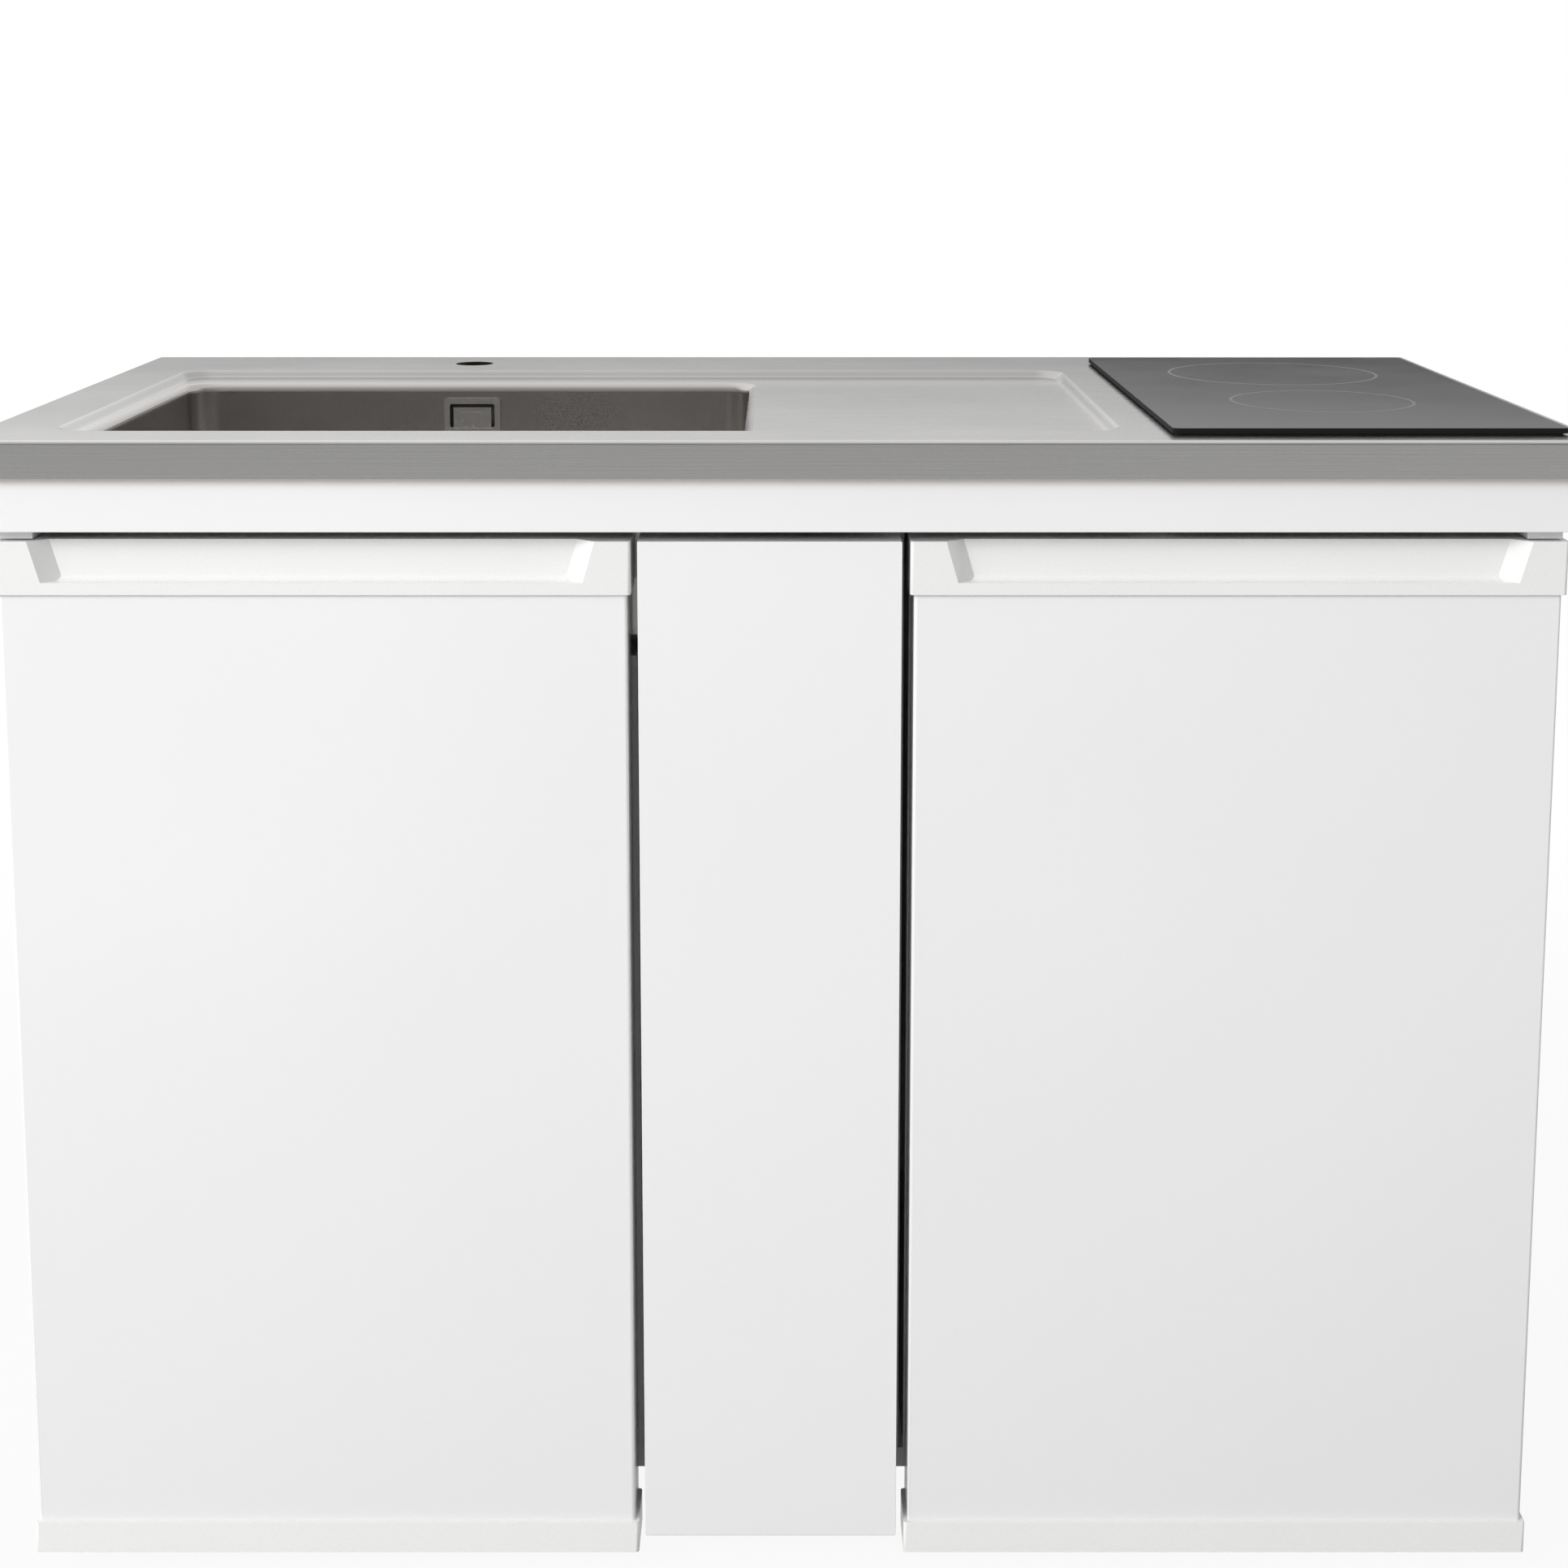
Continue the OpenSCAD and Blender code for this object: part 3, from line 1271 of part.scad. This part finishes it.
// Magnetic seal round the fridge door
module fridge_door_seal() {
    x = [fridge_x0 + 6, fridge_x1 - 2];
    z = [fridge_z0 + 6, fridge_z1 - 6];
    w = seal_w;
    color("gainsboro") difference() {
        block(x, [door_back, cabinet_front - gap], z);
        block([x[0] + w, x[1] - w], [door_back - overshoot, cabinet_front + overshoot],
            [z[0] + w, z[1] - w]);
    }
}

module fridge_door_hinges() {
    door_hinges(fridge_pin_x);
}

// A bin that hooks between the ribs of the fridge door
module door_bin(z) {
    color("lightcyan") tray([bin_x0, bin_x1], [door_back + gap, door_back + gap + bin_d],
        [z, z + bin_h], tray_wall);
}

module upper_door_bin() {
    door_bin(bin_zs[1]);
}

module lower_door_bin() {
    door_bin(bin_zs[0]);
}

worktop_sheet();
worktop_battens();
sink_bowl();
waste_body();
waste_locknut();
strainer_basket();
overflow_cover();
overflow_housing();
overflow_hose();
trap_body();
trap_cup();
trap_nuts();
waste_pipe();
hob_glass();
hob_seal();
hob_tray();
front_element();
rear_element();
hob_control_board();
hob_clips();
hob_terminal_box();
fascia_panel();
top_frame();
cabinet_left_side();
cabinet_right_side();
sink_partition();
fridge_partition();
cabinet_floor();
cabinet_back();
levelling_feet();
centre_panel();
sink_door_panel();
sink_door_top_cap();
sink_door_bottom_cap();
sink_door_core();
sink_door_inner_panel();
sink_door_buffers();
sink_door_hinges();
magnet_catch();
fridge_case();
fridge_insulation();
fridge_liner();
freezer_box();
freezer_flap();
fridge_shelves();
crisper_drawer();
thermostat_housing();
thermostat_knob();
lamp_lens();
compressor();
condenser();
fridge_door_panel();
fridge_door_top_cap();
fridge_door_bottom_cap();
fridge_door_foam();
fridge_door_liner();
fridge_door_seal();
fridge_door_hinges();
upper_door_bin();
lower_door_bin();
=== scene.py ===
"""Kitchenette unit with sink and hob: finishes, softened edges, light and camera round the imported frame.
Metres. +X to the right, -Y to the front, +Z up, the origin on the floor under the middle."""

import json
import math

import bpy
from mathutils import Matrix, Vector


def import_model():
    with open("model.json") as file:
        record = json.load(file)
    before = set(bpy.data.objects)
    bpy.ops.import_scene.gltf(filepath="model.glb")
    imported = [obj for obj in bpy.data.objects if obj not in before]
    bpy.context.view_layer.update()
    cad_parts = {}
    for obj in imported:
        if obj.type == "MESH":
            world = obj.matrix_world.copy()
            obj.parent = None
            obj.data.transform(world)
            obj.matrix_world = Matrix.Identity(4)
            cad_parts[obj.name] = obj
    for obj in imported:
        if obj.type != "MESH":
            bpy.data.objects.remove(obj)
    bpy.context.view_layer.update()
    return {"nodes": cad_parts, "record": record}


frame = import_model()
scene = bpy.context.scene
nodes = frame["nodes"]

# ---------------------------------------------------------------- shader helpers

EVEN = (1, 1, 1)
WHITE = (1, 1, 1, 1)
NOISE_RANGE = (0.3, 0.7)  # nearly all values of a noise texture lie between these


def shade(colour, factor):
    return tuple(c * factor for c in colour)


def fix(node, **values):
    """Numbers set on a node's own sockets."""
    for key, value in values.items():
        node.inputs[key.replace("_", " ")].default_value = value


class Tree:
    """A node tree, with short calls for the nodes used here."""

    def __init__(self, tree, coordinates):
        self.tree = tree
        self.tree.nodes.clear()
        self.coords = self.add("ShaderNodeTexCoord").outputs[coordinates]

    def add(self, kind, **settings):
        node = self.tree.nodes.new(kind)
        for key, value in settings.items():
            setattr(node, key, value)
        return node

    def link(self, source, target):
        self.tree.links.new(source, target)

    def put(self, source, target):
        """A socket is linked to target; a number or a colour is set on it."""
        if isinstance(source, bpy.types.NodeSocket):
            self.link(source, target)
        elif isinstance(source, tuple):
            target.default_value = (*source, 1.0)
        else:
            target.default_value = source

    def span(self, value, low, high, to_low=0.0, to_high=1.0, smooth=False):
        """Value from low to high becomes to_low to to_high."""
        node = self.add("ShaderNodeMapRange", interpolation_type="SMOOTHSTEP" if smooth else "LINEAR")
        self.put(value, node.inputs["Value"])
        fix(node, From_Min=low, From_Max=high, To_Min=to_low, To_Max=to_high)
        return node.outputs["Result"]

    def math(self, operation, a, b=0.0, clamp=False):
        node = self.add("ShaderNodeMath", operation=operation, use_clamp=clamp)
        self.put(a, node.inputs[0])
        self.put(b, node.inputs[1])
        return node.outputs[0]

    def length(self, x, y):
        """How long the flat vector x, y is."""
        return self.math("SQRT", self.math("ADD", self.math("MULTIPLY", x, x), self.math("MULTIPLY", y, y)))

    def split(self, vector):
        """A vector's three numbers."""
        node = self.add("ShaderNodeSeparateXYZ")
        self.link(vector, node.inputs[0])
        return node.outputs

    def mirrored(self, path):
        """1 for the rays that leave metal or glass."""
        return self.math("ADD", path["Is Glossy Ray"], path["Is Transmission Ray"], clamp=True)


class Graph(Tree):
    """A material's node tree round one Principled shader."""

    def __init__(self, name):
        self.material = bpy.data.materials.new(name)
        self.material.use_nodes = True
        super().__init__(self.material.node_tree, "Object")
        self.out = self.add("ShaderNodeOutputMaterial")
        self.bsdf = self.add("ShaderNodeBsdfPrincipled")
        self.link(self.bsdf.outputs[0], self.out.inputs["Surface"])

    def scaled(self, scale):
        node = self.add("ShaderNodeMapping")
        self.link(self.coords, node.inputs["Vector"])
        fix(node, Scale=scale)
        return node.outputs[0]

    def noise(self, size, detail=2.0, roughness=0.5, stretch=EVEN):
        node = self.add("ShaderNodeTexNoise")
        self.link(self.scaled(stretch), node.inputs["Vector"])
        fix(node, Scale=size, Detail=detail, Roughness=roughness)
        return node.outputs["Fac"]

    def cells(self, size, output="Distance"):
        node = self.add("ShaderNodeTexVoronoi")
        self.link(self.scaled(EVEN), node.inputs["Vector"])
        fix(node, Scale=size)
        return node.outputs[output]

    def spread(self, noise, to_low=0.0, to_high=1.0):
        """A noise texture's values, spread over to_low to to_high."""
        return self.span(noise, *NOISE_RANGE, to_low, to_high)

    def mix(self, factor, a, b):
        """Colour a where factor is 0, b where it is 1."""
        node = self.add("ShaderNodeMix", data_type="RGBA")
        self.put(factor, node.inputs["Factor"])
        self.put(a, node.inputs[6])
        self.put(b, node.inputs[7])
        return node.outputs[2]

    def colour(self, value):
        self.put(value, self.bsdf.inputs["Base Color"])

    def rough(self, value):
        self.put(value, self.bsdf.inputs["Roughness"])

    def bump(self, height, distance, strength=1.0):
        node = self.add("ShaderNodeBump")
        fix(node, Distance=distance, Strength=strength)
        self.link(height, node.inputs["Height"])
        self.link(node.outputs[0], self.bsdf.inputs["Normal"])


# ---------------------------------------------------------------- finishes


TOP_SHADE_SPAN = (-0.25, 0.3)  # y over which a worktop's colour grows darker: painted shade towards the back
FRONT_SHADE_SPAN = (0.0, 0.55)  # z over which a painted front's colour lightens out of the painted shade near the floor


def brushed(name, colour, rough, grain=(5, 700, 700), cloud=0.05, bump=0.00004, back_shade=1.0):
    """Metal with a fine grain along one direction, and faint handling clouds.

    back_shade: its tone at the object's back, a painted shade that stands in for the darker reflection there."""
    g = Graph(name)
    lines = g.noise(1.0, 3, 0.6, grain)
    patches = g.noise(6.0, 3)
    tone = g.math("ADD", g.math("MULTIPLY", lines, 0.55), g.math("MULTIPLY", patches, 0.45))

    def clouded(level):
        return g.mix(g.spread(tone), shade(colour, (1 - cloud) * level), shade(colour, (1 + cloud) * level))

    metal = clouded(1.0)
    # Painted shade: the steel darkens towards the back, in place of a darker reflection there.
    if back_shade < 1:
        metal = g.mix(g.span(g.split(g.coords)[1], *TOP_SHADE_SPAN), metal, clouded(back_shade))
    g.colour(metal)
    g.rough(g.spread(tone, rough - 0.04, rough + 0.05))
    fix(g.bsdf, Metallic=1.0)
    g.bump(lines, bump)
    return g.material


def plastic(name, colour, rough=0.35, grain=900.0, tint=0.03, coat=0.0):
    """Moulded plastic with a fine spark-eroded skin and slow changes of tone."""
    g = Graph(name)
    skin = g.noise(grain)
    flow = g.noise(5.0, stretch=(1, 1, 0.4))
    g.colour(g.mix(g.spread(flow), shade(colour, 1 - tint), shade(colour, 1 + tint * 0.3)))
    g.rough(g.spread(skin, rough - 0.05, rough + 0.06))
    fix(g.bsdf, Coat_Weight=coat, Coat_Roughness=0.15)
    g.bump(skin, 0.00003)
    return g.material


def painted(name, colour, rough=0.32, coat=0.25, low_shade=1.0):
    """Sprayed or powder-coated steel: orange peel, and a slow drift of tone.

    low_shade: its tone near the floor, a painted shade that makes the front darker towards the bottom."""
    g = Graph(name)
    peel = g.noise(260.0, roughness=0.45)
    drift = g.noise(2.2)
    paint = g.mix(g.spread(drift), shade(colour, 0.985), shade(colour, 1.01))
    # Painted shade: the front darkens towards the floor, as if the light fell off lower down.
    if low_shade < 1:
        paint = g.mix(g.span(g.split(g.coords)[2], *FRONT_SHADE_SPAN), shade(colour, low_shade), paint)
    g.colour(paint)
    g.rough(g.span(peel, 0.35, 0.65, rough - 0.04, rough + 0.05))
    fix(g.bsdf, Coat_Weight=coat, Coat_Roughness=0.12)
    g.bump(peel, 0.00006)
    return g.material


def timber(name, colour, dark, rough=0.6, bump=0.0003):
    """Sawn wood: long grain with darker late-wood lines."""
    g = Graph(name)
    along = (2.5, 40, 40)
    bend = g.noise(1.0, 4, 0.6, along)
    lines = g.add("ShaderNodeTexWave", wave_type="BANDS", bands_direction="Z")
    g.link(g.scaled(along), lines.inputs["Vector"])
    fix(lines, Scale=0.8, Distortion=6.0, Detail=3.0)
    grain = g.math("MULTIPLY", lines.outputs["Fac"], bend)
    g.colour(g.mix(g.span(grain, 0.1, 0.6), colour, dark))
    g.rough(g.span(grain, 0.0, 0.6, rough - 0.08, rough + 0.08))
    g.bump(grain, bump)
    return g.material


def board(name, colour):
    """Melamine-faced board with a shallow pearl texture."""
    g = Graph(name)
    pearl = g.noise(420.0, 3, 0.6)
    drift = g.noise(3.0, stretch=(1, 1, 0.5))
    g.colour(g.mix(g.spread(drift), shade(colour, 0.975), colour))
    g.rough(g.spread(pearl, 0.38, 0.5))
    g.bump(pearl, 0.00008)
    return g.material


def clear(name, colour, rough=0.04, transmission=0.95, ior=1.5, ripple=30.0):
    """Clear glass or plastic with a faint ripple."""
    g = Graph(name)
    wave = g.noise(ripple, roughness=0.4)
    g.colour(g.mix(g.spread(wave), shade(colour, 0.97), colour))
    g.rough(g.spread(wave, rough, rough + 0.04))
    fix(g.bsdf, Transmission_Weight=transmission, IOR=ior)
    g.bump(wave, 0.0001)
    return g.material


def rubber(name, colour, rough=0.6):
    """Rubber with a fine dull skin and a little dust."""
    g = Graph(name)
    skin = g.noise(1200.0, 3, 0.6)
    dust = g.noise(18.0, 4, 0.6)
    g.colour(g.mix(g.span(dust, 0.4, 0.75), colour, tuple(c * 0.9 + 0.015 for c in colour)))
    g.rough(g.spread(skin, rough - 0.08, rough + 0.1))
    g.bump(skin, 0.00005)
    return g.material


ZONES = ((0.435, 0.102, 0.090), (0.435, -0.102, 0.072))  # centre x, centre y, radius of each heating zone
RING_WIDTH = 0.0016
DOTS_START = 0.004  # how far inside its ring each zone's dots begin
DOT_STRENGTH = 0.35  # against 1 for a ring


def ceramic_glass(name):
    """Black glass ceramic with two printed rings and a fine dotted decoration inside them."""
    g = Graph(name)
    x, y, _ = g.split(g.coords)
    ring = 0.0
    inside = 0.0
    for centre_x, centre_y, radius in ZONES:
        away = g.length(g.math("SUBTRACT", x, centre_x), g.math("SUBTRACT", y, centre_y))
        near = g.math("ABSOLUTE", g.math("SUBTRACT", away, radius))
        line = g.span(near, RING_WIDTH * 0.5, RING_WIDTH * 0.9, 1.0, 0.0)
        ring = g.math("ADD", ring, line, clamp=True)
        disc = g.span(away, radius - DOTS_START, radius - DOTS_START / 2, 1.0, 0.0)
        inside = g.math("ADD", inside, disc, clamp=True)
    dots = g.span(g.cells(420.0), 0.10, 0.16, 1.0, 0.0)
    printed = g.math("MAXIMUM", ring, g.math("MULTIPLY", g.math("MULTIPLY", dots, inside), DOT_STRENGTH))
    smear = g.noise(9.0, 4, 0.6)
    faces_up = g.span(g.split(g.add("ShaderNodeNewGeometry").outputs["Normal"])[2], 0.5, 0.9)
    base = g.mix(g.span(smear, 0.4, 0.7), (0.020, 0.020, 0.021), (0.030, 0.029, 0.029))
    top = g.mix(printed, base, (0.15, 0.15, 0.147))
    g.colour(g.mix(faces_up, (0.006, 0.006, 0.006), top))
    glaze = g.math("ADD", g.span(smear, 0.35, 0.7, 0.09, 0.13), g.math("MULTIPLY", printed, 0.25))
    g.rough(g.math("MAXIMUM", glaze, g.math("SUBTRACT", 0.75, faces_up)))  # ground sides, glossy top
    fix(g.bsdf, IOR=1.5, Specular_IOR_Level=0.4)
    g.bump(printed, 0.00004, 0.6)
    return g.material


def zinc(name):
    """Galvanised sheet with its spangle."""
    g = Graph(name)
    spangle = g.add("ShaderNodeRGBToBW")
    g.link(g.cells(140.0, "Color"), spangle.inputs[0])
    tone = spangle.outputs[0]
    g.colour(g.mix(tone, (0.50, 0.52, 0.53), (0.66, 0.68, 0.69)))
    g.rough(g.span(tone, 0.0, 1.0, 0.3, 0.5))
    fix(g.bsdf, Metallic=1.0)
    g.bump(g.noise(60.0, 3), 0.0001)
    return g.material


def lining(name):
    """Fibre lining of the heating elements, with the dull red-brown of the coil's heat on its ridges."""
    g = Graph(name)
    fibre = g.noise(500.0, 5, 0.7)
    heat = g.noise(40.0, 3)
    g.colour(g.mix(g.span(heat, 0.45, 0.7), (0.55, 0.54, 0.50), (0.36, 0.29, 0.24)))
    g.rough(g.spread(fibre, 0.75, 0.95))
    g.bump(fibre, 0.0004)
    return g.material


def circuit(name):
    """Circuit board: solder mask over copper tracks."""
    g = Graph(name)
    tracks = g.add("ShaderNodeTexBrick")
    g.link(g.scaled((260, 260, 260)), tracks.inputs["Vector"])
    fix(tracks, Mortar_Size=0.06)
    mask = tracks.outputs["Fac"]
    g.colour(g.mix(mask, (0.03, 0.17, 0.07), (0.10, 0.30, 0.13)))
    g.rough(g.span(mask, 0.0, 1.0, 0.3, 0.45))
    g.bump(mask, 0.00008)
    return g.material


def foam(name, colour):
    """Open cells: insulating foam, or the paper honeycomb of a door's core."""
    g = Graph(name)
    cell = g.cells(300.0)
    g.colour(g.mix(g.span(cell, 0.2, 0.8), shade(colour, 0.85), colour))
    g.rough(g.span(cell, 0.0, 1.0, 0.75, 0.95))
    g.bump(cell, 0.0006)
    return g.material


FINISHES = {  # material slot: how it is made, and with which options
    # stainless_top: its back is painted shade, darkened to 0.62 of its tone.
    "stainless_top": (brushed, {"colour": (0.76, 0.753, 0.742), "rough": 0.25, "back_shade": 0.62}),
    "stainless_bowl": (brushed, {"colour": (0.62, 0.598, 0.58), "rough": 0.25, "grain": (4, 4, 4),
                                 "cloud": 0.03, "bump": 0.000001}),
    "bright_steel": (brushed, {"colour": (0.86, 0.86, 0.85), "rough": 0.26, "grain": (300, 300, 300),
                               "cloud": 0.03}),
    "freezer_aluminium": (brushed, {"colour": (0.72, 0.73, 0.74), "rough": 0.32, "grain": (60, 60, 60)}),
    "zinc_steel": (zinc, {}),
    # white_steel and door_steel: painted shade darkens them towards the floor.
    "white_steel": (painted, {"colour": (0.90, 0.90, 0.902), "low_shade": 0.95}),
    "door_steel": (painted, {"colour": (0.89, 0.89, 0.893), "rough": 0.34, "low_shade": 0.94}),
    "black_paint": (painted, {"colour": (0.025, 0.025, 0.027), "rough": 0.4, "coat": 0.1}),
    "waste_plastic": (plastic, {"colour": (0.80, 0.80, 0.79)}),
    "grey_plastic": (plastic, {"colour": (0.36, 0.36, 0.365), "rough": 0.45}),
    "cap_plastic": (plastic, {"colour": (0.875, 0.875, 0.866), "rough": 0.3, "tint": 0.012, "coat": 0.2}),
    "liner_plastic": (plastic, {"colour": (0.84, 0.86, 0.87), "rough": 0.22, "grain": 500.0, "coat": 0.3}),
    "clear_glass": (clear, {"colour": (0.94, 0.98, 0.97)}),
    "clear_plastic": (clear, {"colour": (0.95, 0.98, 0.99), "rough": 0.06, "transmission": 0.8, "ior": 1.49}),
    "flap_plastic": (clear, {"colour": (0.80, 0.90, 0.95), "rough": 0.3, "transmission": 0.7,
                             "ripple": 300.0}),
    "hob_glass": (ceramic_glass, {}),
    "element_lining": (lining, {}),
    "circuit_board": (circuit, {}),
    "black_rubber": (rubber, {"colour": (0.018, 0.018, 0.018)}),
    "seal_rubber": (rubber, {"colour": (0.56, 0.56, 0.56), "rough": 0.5}),
    "batten_timber": (timber, {"colour": (0.60, 0.44, 0.28), "dark": (0.42, 0.28, 0.15)}),
    "frame_timber": (timber, {"colour": (0.83, 0.83, 0.82), "dark": (0.79, 0.785, 0.77), "rough": 0.5,
                              "bump": 0.0001}),
    "white_board": (board, {"colour": (0.84, 0.84, 0.835)}),
    "foam": (foam, {"colour": (0.80, 0.72, 0.48)}),
    "honeycomb": (foam, {"colour": (0.58, 0.44, 0.28)}),
}

made = {}


def finish_of(slot):
    if slot not in made:
        make, options = FINISHES[slot]
        made[slot] = make(slot, **options)
    return made[slot]


for part in frame["record"]["subparts"]:
    materials = nodes[part["node"]].data.materials
    materials.clear()
    materials.append(finish_of(part["material_slot"]))

# ---------------------------------------------------------------- softened edges

SOFT_EDGES = {  # width of the rounding: the pieces whose sharp edges are seen
    0.0009: ("fascia_panel", "centre_panel"),
    0.0008: ("sink_door_top_cap", "fridge_door_top_cap", "sink_door_bottom_cap", "fridge_door_bottom_cap"),
    0.0006: ("hob_glass", "sink_door_panel", "fridge_door_panel", "cabinet_left_side", "cabinet_right_side",
             "crisper_drawer", "freezer_flap", "upper_door_bin", "lower_door_bin", "fridge_shelves"),
    0.0005: ("sink_door_hinges", "fridge_door_hinges"),
}
SAME_POINT = 0.00001
SHARP = math.radians(40)


def soften(obj, width):
    """Rounds a piece's sharp edges by a hair, so that they catch the light."""
    weld = obj.modifiers.new("weld", "WELD")
    weld.merge_threshold = SAME_POINT
    edge = obj.modifiers.new("edge", "BEVEL")
    edge.width = width
    edge.segments = 2
    edge.limit_method = "ANGLE"
    edge.angle_limit = SHARP
    edge.harden_normals = True


for width, names in SOFT_EDGES.items():
    for name in names:
        soften(nodes[name], width)

# ---------------------------------------------------------------- floor, world, light, camera

# What metal and glass find around the object, against 1 for the white behind it
FRONT_ROOM = 0.465
RIGHT_ROOM = 0.72
LOW_ROOM = 0.06
ROOM_ABOVE = 0.75

# The even light on everything else, from each side
AMBIENT_LEFT = 0.97
AMBIENT_RIGHT = 0.32

FLOOR_HALF = 20.0
FLOOR_TONES = (0.52, 0.56)
NEAR_WHITE = 0.93  # how far the floor beside the object is already the white ground
WHITE_FROM = (0.8, 2.2)  # the distances from the middle over which it becomes all white


def floor():
    """A pale floor that takes the object's shadow near it and runs into the white ground farther out."""
    mesh = bpy.data.meshes.new("floor")
    corners = [(x * FLOOR_HALF, y * FLOOR_HALF, 0) for x, y in ((-1, -1), (1, -1), (1, 1), (-1, 1))]
    mesh.from_pydata(corners, [], [(0, 1, 2, 3)])
    obj = bpy.data.objects.new("floor", mesh)
    scene.collection.objects.link(obj)
    g = Graph("floor")
    darker, lighter = (shade(EVEN, tone) for tone in FLOOR_TONES)
    g.colour(g.mix(g.noise(90.0, 3), darker, lighter))
    fix(g.bsdf, Roughness=0.8, Specular_IOR_Level=0.1)
    x, y, _ = g.split(g.coords)
    far = g.span(g.length(x, y), *WHITE_FROM, NEAR_WHITE, 1.0, smooth=True)
    path = g.add("ShaderNodeLightPath").outputs
    seen = g.math("ADD", g.mirrored(path), path["Is Camera Ray"], clamp=True)
    room = g.span(y, -1.0, 0.6, FRONT_ROOM, 1.0, smooth=True)
    ground = g.add("ShaderNodeEmission")
    fix(ground, Color=WHITE)
    g.link(g.math("MAXIMUM", room, path["Is Camera Ray"]), ground.inputs["Strength"])
    blend = g.add("ShaderNodeMixShader")
    g.link(g.math("MULTIPLY", far, seen), blend.inputs[0])
    g.link(g.bsdf.outputs[0], blend.inputs[1])
    g.link(ground.outputs[0], blend.inputs[2])
    g.link(blend.outputs[0], g.out.inputs["Surface"])
    mesh.materials.append(g.material)


def world():
    """White to the camera; reflections find a room that is greyer in front, to the right and low down."""
    studio = bpy.data.worlds.new("studio")
    scene.world = studio
    studio.use_nodes = True
    w = Tree(studio.node_tree, "Generated")
    x, y, z = w.split(w.coords)
    room = w.math("MULTIPLY", w.span(y, -0.5, 0.1, FRONT_ROOM, 1.0, smooth=True),
                  w.span(x, -0.35, 0.45, 1.0, RIGHT_ROOM, smooth=True))
    room = w.math("MULTIPLY", room, w.span(z, 0.08, 0.17, LOW_ROOM, 1.0, smooth=True))
    room = w.math("MAXIMUM", room, w.span(z, 0.45, 0.8, 0.0, ROOM_ABOVE, smooth=True))
    path = w.add("ShaderNodeLightPath").outputs
    shiny = w.mirrored(path)
    level = w.math("ADD", w.math("MULTIPLY", shiny, room), path["Is Camera Ray"], clamp=True)
    others = w.math("SUBTRACT", 1.0, w.math("ADD", shiny, path["Is Camera Ray"], clamp=True))
    ambient = w.span(x, -0.7, 0.7, AMBIENT_LEFT, AMBIENT_RIGHT, smooth=True)
    background = w.add("ShaderNodeBackground")
    fix(background, Color=WHITE)
    w.link(w.math("ADD", level, w.math("MULTIPLY", others, ambient)), background.inputs["Strength"])
    w.link(background.outputs[0], w.add("ShaderNodeOutputWorld").inputs["Surface"])


LAMP_AT = (-4.7, -5.0, 3.9)
LAMP_AIM = (0, 0, 0.65)
LAMP_SIZE = (3.6, 2.8)
LAMP_POWER = 352


def lamp():
    """One large soft lamp, in front on the left."""
    data = bpy.data.lights.new("key", "AREA")
    data.shape = "RECTANGLE"
    data.size, data.size_y = LAMP_SIZE
    data.energy = LAMP_POWER
    obj = bpy.data.objects.new("key", data)
    scene.collection.objects.link(obj)
    obj.location = LAMP_AT
    obj.rotation_euler = (Vector(LAMP_AIM) - obj.location).to_track_quat("-Z", "Y").to_euler()
    obj.visible_glossy = False  # metal mirrors the room, and not the lamp as a white bar


CAMERA_AT = (0.003, -2.06, 1.14)
CAMERA_PITCH = 8.09  # degrees below the horizon
CAMERA_LENS = 56.35
CAMERA_SENSOR = 36.0
CAMERA_SHIFT = -0.21


def camera():
    data = bpy.data.cameras.new("camera")
    data.sensor_fit = "HORIZONTAL"
    data.sensor_width = CAMERA_SENSOR
    data.lens = CAMERA_LENS
    data.shift_y = CAMERA_SHIFT
    obj = bpy.data.objects.new("camera", data)
    scene.collection.objects.link(obj)
    obj.location = CAMERA_AT
    obj.rotation_euler = (math.radians(90 - CAMERA_PITCH), 0, 0)
    scene.camera = obj


floor()
world()
lamp()
camera()
scene.view_settings.view_transform = "Standard"
